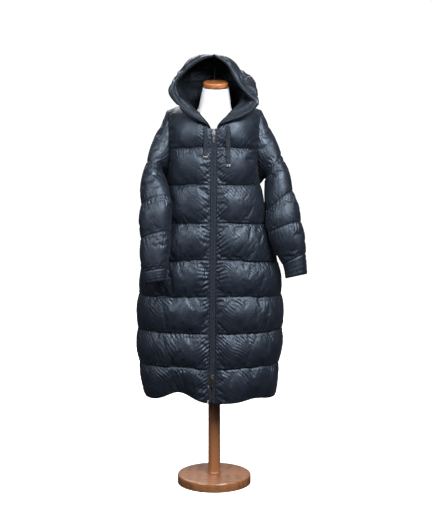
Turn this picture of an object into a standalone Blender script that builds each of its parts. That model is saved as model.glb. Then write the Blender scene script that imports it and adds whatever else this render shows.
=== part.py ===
"""Long hooded puffer coat worn by a limbless dress form on a wooden stand.

Metres, +Z up. The origin is the middle of the base's underside, and the coat's front faces -Y.
"left" and "right" are the viewer's, looking at the front, so left is -X.
"""

import math
from collections import namedtuple

import bmesh
import bpy
import numpy as np
from mathutils import Vector
from mathutils.bvhtree import BVHTree

# ---------------------------------------------------------------- driving sizes

SEAM_GAP = 0.0003  # between two pieces sewn together
FLAT_GAP = SEAM_GAP / 2  # each edge's share of it
FOLD_GAP = 0.0006  # where two padded rows meet at a fold and press together
WALL = 0.003  # padded cloth where it is stitched flat
PUFF_OUT = 0.017  # how far a quilt row swells outwards
PUFF_IN = 0.005  # and towards the wearer
FULL_ROW = 0.12  # a row this tall swells by the whole amount
SIDES = {"left": -1, "right": 1}

# Stand
BASE_RADIUS, BASE_THICK, BASE_ROUND = 0.138, 0.034, 0.006
POST_RADIUS, POST_TOP = 0.0225, 0.804
CAP_RADIUS, CAP_THICK, CAP_ROUND, CAP_TILT = 0.0455, 0.0185, 0.006, math.radians(10)
CAP_LIFT = 0.0074  # of the cap's underside over the neck at its middle, so that its low edge clears
POST_FLARE, POST_FLARE_TALL = 0.003, 0.006
NECK_AXIS_X, NECK_TOP = 0.006, 1.474

TorsoRing = namedtuple("TorsoRing", "height half_width front back centre_y")
TORSO = (
    TorsoRing(0.8045, 0.085, 0.060, 0.060, 0.000),
    TorsoRing(0.812, 0.118, 0.084, 0.084, 0.000),
    TorsoRing(0.835, 0.143, 0.103, 0.103, 0.000),
    TorsoRing(0.900, 0.156, 0.112, 0.112, 0.000),
    TorsoRing(1.000, 0.134, 0.096, 0.094, 0.000),
    TorsoRing(1.080, 0.118, 0.086, 0.080, 0.000),
    TorsoRing(1.160, 0.127, 0.095, 0.085, 0.000),
    TorsoRing(1.250, 0.140, 0.108, 0.090, 0.000),
    TorsoRing(1.320, 0.148, 0.096, 0.086, 0.002),
    TorsoRing(1.362, 0.122, 0.074, 0.072, 0.004),
    TorsoRing(1.385, 0.076, 0.059, 0.062, 0.004),
    TorsoRing(1.402, 0.062, 0.053, 0.056, 0.004),
    TorsoRing(1.420, 0.057, 0.050, 0.052, 0.002),
    TorsoRing(1.445, 0.053, 0.048, 0.049, 0.000),
    TorsoRing(NECK_TOP, 0.047, 0.0455, 0.0455, -0.002),
)
TORSO_COLUMNS = 32

# Body of the coat: one row for each quilt seam, from the yoke seam to the hem. "height" is at the
# zip, and side_rise is how much higher the same seam is at the side.
BodyRing = namedtuple("BodyRing", "height side_rise left right front back power")
BODY = (
    BodyRing(1.271, -0.010, 0.172, 0.168, 0.138, 0.118, 2.5),
    BodyRing(1.138, -0.008, 0.176, 0.166, 0.146, 0.128, 2.4),
    BodyRing(1.002, -0.016, 0.214, 0.194, 0.152, 0.138, 2.3),
    BodyRing(0.8695, -0.022, 0.256, 0.230, 0.156, 0.146, 2.3),
    BodyRing(0.7355, -0.008, 0.275, 0.245, 0.157, 0.148, 2.3),
    BodyRing(0.600, 0.000, 0.281, 0.249, 0.158, 0.150, 2.3),
    BodyRing(0.470, 0.003, 0.277, 0.238, 0.160, 0.152, 2.3),
    BodyRing(0.342, 0.002, 0.257, 0.227, 0.162, 0.152, 2.3),
)
# Where the lower edge of a front rides up by "lift" and in by "push", around x and as far as "reach"
HemWave = namedtuple("HemWave", "lift push x reach")
HEM_WAVES = {-1: HemWave(0.036, 0.020, -0.128, 0.062), 1: HemWave(0.012, 0.006, 0.150, 0.050)}
HEM_WAVE_ROWS = 1.4  # how many rows up from the hem the fold can be seen
ROW_STEPS, YOKE_STEPS = 3, 4
YOKE_SWELL_LOW, SLEEVE_SWELL_LOW = 1.6, 1.3  # over 1, the first row is fullest below its middle
EDGE_RAMPS = {"front": (0.050, 0.050), "back": (0.040, 0.040), "hood": (0.030, 0.040)}
UNDERARM_ROUND = 0.55  # power of the armhole's lower curve; 0.5 is an ellipse
FRONT_COLUMNS = (0.0, 0.07, 0.18, 0.36, 0.60, 0.80, 1.0)
BACK_COLUMNS = (0.0, 0.18, 0.38, 0.60, 0.80, 1.0)
NECK_SHARE = 0.60  # of a panel's top edge: neckline up to here, shoulder seam after

# Neckline, shoulder and armhole, for the right side (mirrored for the left)
ZIP_TOP_Z = 1.338
NECK_POINT = (0.100, 0.004, 1.420)
BACK_NECK = (0.0, 0.086, 1.430)
NECK_SET_BACK = 0.005  # of the zip's top, behind the body's front
NECK_FRONT_PULLS = ((0.046, -0.128, 1.374), (0.103, -0.068, 1.402))
NECK_BACK_PULLS = ((0.062, 0.087, 1.430), (0.100, 0.048, 1.423))
SHOULDER_POINT = (0.170, 0.004, 1.397)
ARMHOLE_DEPTH = 0.070

# Zip
ZIP_X_TOP, ZIP_X_BOTTOM = -0.001, -0.008
TAPE_OUTER, TAPE_INNER, TAPE_THICK = 0.010, 0.0033, 0.0010
CHAIN_HALF, CHAIN_THICK = 0.0030, 0.0030
PANEL_EDGE = TAPE_OUTER + SEAM_GAP
SLIDER_TOP_Z, SLIDER_BOTTOM_Z = 1.3225, 0.4420
SPLIT_LEFT, SPLIT_RIGHT = 0.0075, 0.0015  # how far each edge swings aside at the hem
SPLIT_WAVES = 1.45  # half waves of the left edge from the lower slider to the hem
STRIP_SHORT = 0.002  # the zip ends this far above the hem

# Sleeves: one row for each quilt seam. (out_x, out_z) goes from the middle to the outer side and
# (depth, rise) to the front side, which is higher where the arm swings forward.
SleeveRing = namedtuple("SleeveRing", "x y z out_x out_z depth rise")
SLEEVES = {
    "left": (
        SleeveRing(-0.2155, -0.052, 1.192, -0.0250, 0.017, 0.060, 0.022),
        SleeveRing(-0.2080, -0.142, 1.080, -0.0500, -0.013, 0.040, 0.018),
        SleeveRing(-0.2085, -0.164, 0.960, -0.0505, -0.012, 0.040, 0.014),
        SleeveRing(-0.2110, -0.184, 0.838, -0.0430, -0.007, 0.034, 0.008),
        SleeveRing(-0.2090, -0.188, 0.795, -0.0370, -0.006, 0.030, 0.006),
    ),
    "right": (
        SleeveRing(0.2145, -0.030, 1.192, 0.0260, 0.043, 0.058, 0.010),
        SleeveRing(0.2360, -0.074, 1.074, 0.0450, 0.037, 0.052, 0.012),
        SleeveRing(0.2530, -0.100, 0.982, 0.0570, 0.020, 0.052, 0.012),
        SleeveRing(0.2880, -0.112, 0.868, 0.0390, 0.020, 0.037, 0.008),
        SleeveRing(0.2970, -0.117, 0.806, 0.0370, 0.008, 0.033, 0.006),
    ),
}
SLEEVE_PUFF, CUFF_PUFF, CUFF_PUFF_IN, CUFF_STEPS = 0.012, 0.003, 0.001, 2
HEM_SWELL, SLEEVE_HEAD_SWELL = 0.62, 0.62  # share of a full row's swell in these two rows
SLEEVE_FACING = (0.6, 0.2, 0.2)  # share of the swell: all round, more in front, more outside

# Hood: it stands up from the neckline by a short course, and then has one row for each level up to
# the crown seam. Each row runs from the rim past the widest place of the side to the middle of the
# back.
STAND_CHIN, STAND_SIDE, STAND_BACK = (0.012, -0.010, 0.014), (0.004, 0.002, 0.026), (0, 0.006, 0.026)
HoodRow = namedtuple("HoodRow", "rim_x rim_y rim_z side_x side_y side_z back_y back_z")
HOOD = {
    "left": (
        HoodRow(-0.072, -0.146, 1.379, -0.120, 0.010, 1.464, 0.108, 1.478),
        HoodRow(-0.122, -0.124, 1.416, -0.131, 0.020, 1.488, 0.120, 1.501),
        HoodRow(-0.154, -0.090, 1.460, -0.130, 0.028, 1.514, 0.127, 1.524),
        HoodRow(-0.142, -0.068, 1.500, -0.114, 0.034, 1.541, 0.125, 1.546),
        HoodRow(-0.111, -0.058, 1.539, -0.084, 0.040, 1.565, 0.116, 1.567),
        HoodRow(-0.060, -0.056, 1.577, -0.044, 0.040, 1.586, 0.100, 1.581),
        HoodRow(0.000, -0.058, 1.597, 0.000, 0.030, 1.598, 0.075, 1.588),
    ),
    "right": (
        HoodRow(0.082, -0.142, 1.375, 0.128, 0.008, 1.460, 0.108, 1.478),
        HoodRow(0.128, -0.124, 1.398, 0.144, 0.014, 1.476, 0.120, 1.501),
        HoodRow(0.152, -0.096, 1.426, 0.134, 0.024, 1.502, 0.127, 1.524),
        HoodRow(0.114, -0.078, 1.466, 0.098, 0.032, 1.528, 0.125, 1.546),
        HoodRow(0.080, -0.066, 1.514, 0.068, 0.037, 1.555, 0.116, 1.567),
        HoodRow(0.048, -0.058, 1.566, 0.041, 0.038, 1.580, 0.100, 1.581),
        HoodRow(0.000, -0.058, 1.597, 0.000, 0.030, 1.598, 0.075, 1.588),
    ),
}
HOOD_COLUMNS = (0.0, 0.08, 0.18, 0.36, 0.56, 0.74, 0.88, 1.0)
HOOD_SEAM_ROWS = (0, 1, 3, 5, 8)
HOOD_PUFF, HOOD_FULL_ROW = 0.011, 0.06
HOOD_CORNER_OUT, HOOD_CORNER_BACK = 0.72, 0.80  # of the way out to the side and to the back
CASING_COLUMNS, CASING_THICK, CASING_GAP = 3, 0.0012, 0.0012

# Drawstrings: flat tapes that hang free from the neck seam, with a metal clip on the end
Drawcord = namedtuple("Drawcord", "x top length")
DRAWCORDS = {"left": Drawcord(-0.030, 1.346, 0.104), "right": Drawcord(0.050, 1.348, 0.136)}
CORD_WIDTH, CORD_THICK, CORD_STEPS = 0.0150, 0.0014, 8
TIP_WIDTH, TIP_TALL, TIP_THICK = 0.0164, 0.0072, 0.0036
CORD_CLEARANCE = 0.0012

# Sliders and pull tabs
SLIDER_WIDE, SLIDER_LONG, SLIDER_THICK, SLIDER_ROOM = 0.0112, 0.0200, 0.0084, 0.0008
HINGE_UNDER = 0.0030  # the pull's bar hangs this far under the slider's middle
BRIDGE_RISE, BRIDGE_WIDE, BRIDGE_LONG, BRIDGE_WIRE = 0.0046, 0.0026, 0.0130, 0.0014
HOLE_LIFT = 0.0001  # the bridge's hole starts this far off the slider's face
PULL_SIDE_WIRE = 0.0017  # metal left on each side of the pull's window
PULL_LONG, PULL_WIDE, PULL_THICK, PULL_WINDOW = 0.0320, 0.0082, 0.0015, 0.0095

Finish = namedtuple("Finish", "colour roughness metallic")
FINISHES = {
    "nylon": Finish((0.026, 0.032, 0.046), 0.42, 0.0),
    "zip_tape": Finish((0.020, 0.024, 0.034), 0.80, 0.0),
    "zip_teeth": Finish((0.045, 0.052, 0.068), 0.40, 0.0),
    "metal": Finish((0.42, 0.42, 0.43), 0.30, 1.0),
    "bronze": Finish((0.30, 0.22, 0.16), 0.35, 1.0),
    "jersey": Finish((0.88, 0.88, 0.88), 0.85, 0.0),
    "wood": Finish((0.46, 0.21, 0.085), 0.38, 0.0),
}

# ---------------------------------------------------------------- small tools


def smooth_rows(rows, place):
    """The row at a fractional place in a table, on a smooth curve through all of its rows."""
    rows = np.asarray(rows, float)
    last = len(rows) - 1
    first = min(int(place), last - 1)
    t = place - first
    p0, p1, p2, p3 = (rows[min(max(first + k, 0), last)] for k in (-1, 0, 1, 2))
    if first == 0:
        p0 = 2 * p1 - p2
    if first == last - 1:
        p3 = 2 * p2 - p1
    slope_in, slope_out = (p2 - p0) / 2, (p3 - p1) / 2
    return (
        (2 * t**3 - 3 * t**2 + 1) * p1
        + (t**3 - 2 * t**2 + t) * slope_in
        + (3 * t**2 - 2 * t**3) * p2
        + (t**3 - t**2) * slope_out
    )


def even_points(points, shares):
    """Points at the given shares of a polyline's length."""
    points = np.asarray(points, float)
    run = np.concatenate([[0.0], np.cumsum(np.linalg.norm(np.diff(points, axis=0), axis=1))])
    at = np.asarray(shares, float) * run[-1]
    return np.stack([np.interp(at, run, points[:, axis]) for axis in range(3)], axis=1)


def bezier(p0, p1, p2, p3, t):
    p0, p1, p2, p3 = (np.asarray(p, float) for p in (p0, p1, p2, p3))
    return (1 - t) ** 3 * p0 + 3 * (1 - t) ** 2 * t * p1 + 3 * (1 - t) * t**2 * p2 + t**3 * p3


def unit(vectors):
    return vectors / np.maximum(np.linalg.norm(vectors, axis=-1, keepdims=True), 1e-12)


def mirrored(point, side):
    return np.array([point[0] * side, point[1], point[2]])


# ---------------------------------------------------------------- the coat's surfaces
# Each surface is a grid of points: rows from the top down, columns across. A grid's columns run so
# that row x column points out of the coat.


def body_ring(level):
    return BodyRing(*smooth_rows(BODY, level))


def zip_x(height):
    share = (ZIP_TOP_Z - height) / (ZIP_TOP_Z - BODY[-1].height)
    return ZIP_X_TOP + (ZIP_X_BOTTOM - ZIP_X_TOP) * share


def split_at(side, height):
    """How far an edge of the open zip swings aside, from nothing at the lower slider."""
    open_share = max(0.0, (SLIDER_BOTTOM_Z - height) / (SLIDER_BOTTOM_Z - BODY[-1].height))
    if side < 0:
        return SPLIT_LEFT * math.sin(open_share * math.pi * SPLIT_WAVES) ** 2 * open_share**0.5
    return SPLIT_RIGHT * open_share


def ring_quarter(level, side, back, edge_y, shares):
    """Points of a quarter of a body ring, from the centre line to the side or the armhole."""
    ring = body_ring(level)
    middle = zip_x(ring.height)
    half = (ring.right if side > 0 else ring.left) - side * middle
    deep = ring.back if back else ring.front
    start_x = 0.0 if back else PANEL_EDGE + split_at(side, ring.height)
    first = math.asin((start_x / half) ** (ring.power / 2))
    last = math.acos((edge_y / deep) ** (ring.power / 2))
    turn = np.linspace(first, last, 61)
    x = half * np.sin(turn) ** (2 / ring.power)
    y = deep * np.cos(turn).clip(0) ** (2 / ring.power) * (1 if back else -1)
    z = ring.height + ring.side_rise * (x / half) ** 2
    points = np.stack([middle + side * x, y, z], axis=1)
    if back:
        points[:, 0] -= middle * (1 - (x / half) ** 2)
    points = even_points(points, shares)
    if not back:
        points = hem_wave(points, side, level, 1 - np.asarray(shares) ** 8)
    return points


def hem_wave(points, side, level, window):
    """A front's lower edge rides up and in where it folds; window is nothing at the side seam."""
    wave = HEM_WAVES[side]
    reach = window * np.exp(-(((points[:, 0] - wave.x) / wave.reach) ** 2))
    rows_in = max(0.0, level - (len(BODY) - 1 - HEM_WAVE_ROWS))
    amount = (rows_in / HEM_WAVE_ROWS) ** 1.5
    points[:, 2] += wave.lift * reach * amount
    points[:, 1] += wave.push * reach * amount
    return points


def neckline(side, back, share):
    """From the zip's top, or the middle of the back, to the neck end of the shoulder seam."""
    neck_point = mirrored(NECK_POINT, side)
    if back:
        before, after = (mirrored(pull, side) for pull in NECK_BACK_PULLS)
        return bezier(BACK_NECK, before, after, neck_point, share)
    start = (zip_x(ZIP_TOP_Z) + side * PANEL_EDGE, NECK_SET_BACK - BODY[0].front, ZIP_TOP_Z)
    before, after = (mirrored(pull, side) for pull in NECK_FRONT_PULLS)
    return bezier(start, before, after, neck_point, share)


def top_edge(side, back, share):
    if share <= NECK_SHARE:
        return neckline(side, back, share / NECK_SHARE)
    along = (share - NECK_SHARE) / (1 - NECK_SHARE)
    return (1 - along) * mirrored(NECK_POINT, side) + along * mirrored(SHOULDER_POINT, side)


def body_panel(side, back, columns, yoke_steps, row_steps):
    """The grid of a front, or of one half of the back, from the shoulder to the hem."""
    bottom = ring_quarter(0, side, back, ARMHOLE_DEPTH, columns)
    top = np.array([top_edge(side, back, share) for share in columns])
    rows = []
    roundness = np.asarray(columns) ** 0.5
    for step in range(yoke_steps):
        turn = (1 - step / yoke_steps) * math.pi / 2
        share = roundness * math.cos(turn) + (1 - roundness) * math.cos(turn) ** 2
        row = bottom.copy()
        row[:, 0] += (top[:, 0] - bottom[:, 0]) * (1 - step / yoke_steps)
        row[:, 1] = top[:, 1] + (bottom[:, 1] - top[:, 1]) * share
        row[:, 2] += (top[:, 2] - bottom[:, 2]) * math.sin(turn)
        rows.append(row)
    for step in range((len(BODY) - 1) * row_steps + 1):
        level = step / row_steps
        edge_y = ARMHOLE_DEPTH * max(0.0, 1 - level**2) ** UNDERARM_ROUND
        rows.append(ring_quarter(level, side, back, edge_y, columns))
    return np.array(rows)


def armhole(front, back, yoke_steps, row_steps):
    """The closed loop of armhole points: shoulder, down the front edge, underarm, up the back."""
    rows = yoke_steps + row_steps
    return np.concatenate([front[: rows + 1, -1], back[1:rows, -1][::-1]])


def sleeve_grid(name, loop, rows, steps):
    """A sleeve or a cuff: rings from one set of rows of the table, joined on a smooth curve."""
    turns = np.arange(len(loop)) / len(loop) * 2 * math.pi
    rings = [loop]
    for ring in SLEEVES[name]:
        out = np.array([ring.out_x, 0.0, ring.out_z])
        fore = np.array([0.0, -ring.depth, ring.rise])
        centre = np.array([ring.x, ring.y, ring.z])
        rings.append(centre + np.outer(np.cos(turns), out) + np.outer(np.sin(turns), fore))
    rings = np.array(rings)
    flat = rings.reshape(len(rings), -1)
    places = [rows[0] + step / steps for step in range((rows[1] - rows[0]) * steps + 1)]
    return np.array([smooth_rows(flat, place).reshape(-1, 3) for place in places])


def hood_grid(name, neck, columns, steps):
    """A side of the hood, from its neckline up to the crown seam; columns from rim to back."""
    table = HOOD[name]
    places = np.linspace(0, 2, len(neck))
    stand = np.array([smooth_rows((STAND_CHIN, STAND_SIDE, STAND_BACK), k) for k in places])
    stand[:, 0] *= SIDES[name]
    flat = [neck.reshape(-1), (neck + stand).reshape(-1)]
    for row in table:
        rim = np.array([row.rim_x, row.rim_y, row.rim_z])
        wide = np.array([row.side_x, row.side_y, row.side_z])
        back = np.array([0.0, row.back_y, row.back_z])
        corner_y = row.side_y + (row.back_y - row.side_y) * HOOD_CORNER_BACK
        corner = np.array([row.side_x * HOOD_CORNER_OUT, corner_y, row.back_z])
        course = [rim, wide, corner, back]
        curve = [smooth_rows(course, place) for place in np.linspace(0, 3, 49)]
        flat.append(even_points(curve, columns).reshape(-1))
    places = [step / steps for step in range((len(flat) - 1) * steps + 1)]
    return np.array([smooth_rows(flat, place).reshape(-1, 3) for place in places])


# ---------------------------------------------------------------- walls and swells


def grid_normals(grid, wraps=False):
    """Outward unit normals of a grid whose row x column direction points inwards."""
    down = np.gradient(grid, axis=0)
    if wraps:
        across = (np.roll(grid, -1, axis=1) - np.roll(grid, 1, axis=1)) / 2
    else:
        across = np.gradient(grid, axis=1)
    return unit(np.cross(across, down))


def edge_ramp(grid, reach_first, reach_last):
    """How much of its full swell each point has, going by its distance from the side edges."""
    run = np.linalg.norm(np.diff(grid, axis=1), axis=2).cumsum(axis=1)
    run = np.concatenate([np.zeros((len(grid), 1)), run], axis=1)
    first = np.clip(run / reach_first, 0, 1)
    last = np.clip((run[:, -1:] - run) / reach_last, 0, 1)
    return np.sin(first * math.pi / 2) * np.sin(last * math.pi / 2)


def row_swell(grid, seams, full, lower_first=1.0):
    """The swell of each point by its place between two seams: nothing on a seam, full midway.

    A row shorter than full swells less. lower_first moves the first row's swell down it.
    """
    swell = np.zeros(grid.shape[:2])
    for upper, lower in zip(seams, seams[1:]):
        inside = np.arange(upper, lower + 1)
        along = (inside - upper) / (lower - upper)
        along = along ** (lower_first if upper == 0 else 1.0)
        steps = np.diff(grid[upper : lower + 1], axis=0)
        length = np.linalg.norm(steps, axis=2).sum(axis=0)
        shape = np.sin(along * math.pi).clip(0) ** 0.8
        swell[upper : lower + 1] = shape[:, None] * np.clip(length / full, 0, 1)[None, :]
    return swell


class SeamBook:
    """The shared normal of each point on a seam, so that both walls end on the same mitre."""

    def __init__(self):
        self.sums = {}

    def key(self, point):
        return tuple(np.round(point, 5) + 0.0)

    def add(self, grid, normals):
        edge = np.ones(grid.shape[:2], bool)
        edge[1:-1, 1:-1] = False
        for point, normal in zip(grid[edge], normals[edge]):
            key = self.key(point)
            self.sums[key] = self.sums.get(key, 0) + normal

    def apply(self, grid, normals):
        edge = np.ones(grid.shape[:2], bool)
        edge[1:-1, 1:-1] = False
        shared = [self.sums[self.key(point)] for point in grid[edge]]
        normals[edge] = unit(np.array(shared))
        return normals


def pulled_back(layer, gaps):
    """The layer with its named edges drawn back: top, bottom, first and last each by its gap."""
    layer = layer.copy()
    if "top" in gaps:
        layer[0] += gaps["top"] * unit(layer[1] - layer[0])
    if "bottom" in gaps:
        layer[-1] += gaps["bottom"] * unit(layer[-2] - layer[-1])
    if "first" in gaps:
        layer[:, 0] += gaps["first"] * unit(layer[:, 1] - layer[:, 0])
    if "last" in gaps:
        layer[:, -1] += gaps["last"] * unit(layer[:, -2] - layer[:, -1])
    return layer


# ---------------------------------------------------------------- Blender objects

COLLECTION_NAME = "long_puffer_coat"


def clear_scene():
    for thing in list(bpy.data.objects):
        bpy.data.objects.remove(thing, do_unlink=True)


def material(name):
    if name in bpy.data.materials:
        return bpy.data.materials[name]
    made = bpy.data.materials.new(name)
    made.use_nodes = True
    shader = made.node_tree.nodes["Principled BSDF"]
    shader.inputs["Base Color"].default_value = (*FINISHES[name].colour, 1)
    shader.inputs["Roughness"].default_value = FINISHES[name].roughness
    shader.inputs["Metallic"].default_value = FINISHES[name].metallic
    made.diffuse_color = (*FINISHES[name].colour, 1)
    return made


def object_from(name, mesh_data, finish):
    """An object whose closed mesh faces outwards, in the coat's collection."""
    made = bpy.data.objects.new(name, mesh_data)
    bpy.data.collections[COLLECTION_NAME].objects.link(made)
    mesh_data.materials.append(material(finish))
    mesh_data.shade_smooth()
    mesh_data.set_sharp_from_angle(angle=math.radians(40))
    return made


def closed_mesh(name, points, faces):
    mesh_data = bpy.data.meshes.new(name)
    mesh_data.from_pydata([tuple(map(float, point)) for point in points], [], faces)
    shape = bmesh.new()
    shape.from_mesh(mesh_data)
    bmesh.ops.recalc_face_normals(shape, faces=shape.faces)
    if shape.calc_volume(signed=True) < 0:
        bmesh.ops.reverse_faces(shape, faces=shape.faces)
    shape.to_mesh(mesh_data)
    shape.free()
    return mesh_data


def shell(name, outer, inner, finish, wraps=False):
    """A closed wall between two grids of the same size; wraps joins the last column to the first."""
    rows, columns = outer.shape[:2]
    points = np.concatenate([outer.reshape(-1, 3), inner.reshape(-1, 3)])
    under = rows * columns
    spans = columns if wraps else columns - 1
    faces = []

    def wall(a, b):
        """An edge face, split from its higher outer corner so that both sides of a seam match."""
        high, low = (a, b) if tuple(points[a][::-1]) > tuple(points[b][::-1]) else (b, a)
        faces.extend([(high, low, under + low), (high, under + low, under + high)])

    for row in range(rows - 1):
        for column in range(spans):
            beside = (column + 1) % columns
            a, b = row * columns + column, row * columns + beside
            c, d = a + columns, b + columns
            faces.append((a, b, d, c))
            faces.append((under + a, under + c, under + d, under + b))
    for row in (0, rows - 1):
        for column in range(spans):
            wall(row * columns + column, row * columns + (column + 1) % columns)
    if not wraps:
        for column in (0, columns - 1):
            for row in range(rows - 1):
                wall(row * columns + column, (row + 1) * columns + column)
    return object_from(name, closed_mesh(name, points, faces), finish)


def turned(name, profile, finish, segments=48):
    """A solid turned about Z from (radius, height) pairs that run from the top axis to the bottom."""
    mesh_data = bpy.data.meshes.new(name)
    points = [(radius, 0, height) for radius, height in profile]
    edges = [(k, k + 1) for k in range(len(points) - 1)]
    mesh_data.from_pydata(points, edges, [])
    made = object_from(name, mesh_data, finish)
    screw = made.modifiers.new("turn", "SCREW")
    screw.steps = screw.render_steps = segments
    screw.use_merge_vertices = True
    screw.merge_threshold = 0.00001
    screw.use_smooth_shade = True
    return made


def box_mesh(name, size, centre, bevel=0.0):
    shape = bmesh.new()
    bmesh.ops.create_cube(shape, size=1)
    bmesh.ops.scale(shape, vec=Vector(size), verts=shape.verts)
    bmesh.ops.translate(shape, vec=Vector(centre), verts=shape.verts)
    if bevel:
        bmesh.ops.bevel(
            shape, geom=list(shape.edges), offset=bevel, segments=2, profile=0.5, affect="EDGES"
        )
    mesh_data = bpy.data.meshes.new(name)
    shape.to_mesh(mesh_data)
    shape.free()
    return mesh_data


def helper_object(name, mesh_data):
    made = bpy.data.objects.new(name, mesh_data)
    bpy.data.collections["cutters"].objects.link(made)
    made.hide_render = True
    made.display_type = "WIRE"
    return made


def combine(target, tool, operation):
    cut = target.modifiers.new(tool.name, "BOOLEAN")
    cut.operation = operation
    cut.object = tool


# ---------------------------------------------------------------- stand and form


def build_stand():
    turn_profile = [(0.0, BASE_THICK)]
    for step in range(5):
        angle = math.pi / 2 * (1 - step / 4)
        turn_profile.append(
            (
                BASE_RADIUS - BASE_ROUND + BASE_ROUND * math.cos(angle),
                BASE_THICK - BASE_ROUND + BASE_ROUND * math.sin(angle),
            )
        )
    turn_profile += [(BASE_RADIUS, 0.002), (BASE_RADIUS - 0.002, 0.0), (0.0, 0.0)]
    turned("base_disc", turn_profile, "wood", 64)
    foot = BASE_THICK + SEAM_GAP
    post = [(0.0, POST_TOP), (POST_RADIUS, POST_TOP), (POST_RADIUS, foot + POST_FLARE_TALL)]
    post += [(POST_RADIUS + POST_FLARE, foot), (0.0, foot)]
    turned("post", post, "wood", 32)


def build_torso():
    turns = np.arange(TORSO_COLUMNS) / TORSO_COLUMNS * 2 * math.pi
    points = []
    for ring in TORSO:
        lean = NECK_AXIS_X * max(0.0, (ring.height - 1.36) / (NECK_TOP - 1.36))
        for turn in turns:
            deep = ring.front if math.sin(turn) < 0 else ring.back
            x = lean + ring.half_width * math.cos(turn)
            points.append((x, ring.centre_y + deep * math.sin(turn), ring.height))
    faces = []
    for ring in range(len(TORSO) - 1):
        for column in range(TORSO_COLUMNS):
            a = ring * TORSO_COLUMNS + column
            b = ring * TORSO_COLUMNS + (column + 1) % TORSO_COLUMNS
            faces.append((a, b, b + TORSO_COLUMNS, a + TORSO_COLUMNS))
    faces.append(tuple(range(TORSO_COLUMNS)))
    last = (len(TORSO) - 1) * TORSO_COLUMNS
    faces.append(tuple(range(last, last + TORSO_COLUMNS)))
    object_from("form_torso", closed_mesh("form_torso", points, faces), "jersey")


def build_cap():
    half, rim = CAP_THICK / 2, CAP_ROUND
    profile = [(0.0, half)]
    for step in range(7):
        angle = math.pi / 2 - math.pi * step / 6
        profile.append((CAP_RADIUS - rim + rim * math.cos(angle), half * math.sin(angle)))
    profile.append((0.0, -half))
    cap = turned("neck_cap", profile, "wood", 40)
    cap.location = (NECK_AXIS_X, TORSO[-1].centre_y, NECK_TOP + half + CAP_LIFT)
    cap.rotation_euler = (CAP_TILT, 0, 0)


# ---------------------------------------------------------------- zip


class ZipLine:
    """The line that the zip follows, straight between the body's grid rows as its panels are."""

    def __init__(self, grids):
        edges = {side: grids[f"front_{name}"][:, 0] for name, side in SIDES.items()}
        self.heights = edges[1][:, 2]
        self.depth = edges[1][:, 1]
        self.middle = np.array([zip_x(height) for height in self.heights])
        self.aside = {
            side: side * (edges[side][:, 0] - self.middle) - PANEL_EDGE for side in (-1, 1)
        }

    def read(self, values, height):
        return float(np.interp(height, self.heights[::-1], values[::-1]))

    def x(self, height):
        return self.read(self.middle, height)

    def y(self, height):
        return self.read(self.depth, height)

    def between(self, top, bottom):
        """Heights of a strip's rows: its ends, and every grid row between them."""
        inside = [height for height in self.heights if bottom + 0.001 < height < top - 0.001]
        return [top, *inside, bottom]

    def tilt(self, height, reach):
        """Lean of the line at a height: the turn about X that lays an upright piece along it."""
        fall = self.y(height + reach / 2) - self.y(height - reach / 2)
        return -math.atan2(fall, reach)

    def strip(self, name, near, far, thick, span, finish, side=0):
        """A strip between two distances from the line, on one side of it or, with 0, on both."""
        outer = []
        for height in self.between(*span):
            x, y = self.x(height), self.y(height) - thick / 2
            if side:
                aside = self.read(self.aside[side], height)
                row = [(x + side * (edge + aside), y, height) for edge in (near, far)]
            else:
                row = [(x + near, y, height), (x + far, y, height)]
            outer.append(row)
        outer = np.array(outer)
        return shell(name, outer, outer + (0, thick, 0), finish)


def build_zip(line):
    bottom = line.heights[-1] + STRIP_SHORT
    for name, side in SIDES.items():
        tape = (ZIP_TOP_Z - 0.001, bottom)
        line.strip(
            f"zip_tape_{name}", TAPE_INNER, TAPE_OUTER, TAPE_THICK, tape, "zip_tape", side
        )
        teeth = (SLIDER_BOTTOM_Z - SLIDER_LONG / 2 - SEAM_GAP, bottom)
        line.strip(
            f"zip_teeth_{name}", SEAM_GAP / 2, CHAIN_HALF, CHAIN_THICK, teeth, "zip_teeth", side
        )
    chain = (SLIDER_TOP_Z - 0.003, SLIDER_BOTTOM_Z + 0.003)
    line.strip("zip_chain", -CHAIN_HALF, CHAIN_HALF, CHAIN_THICK, chain, "zip_teeth")


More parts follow.
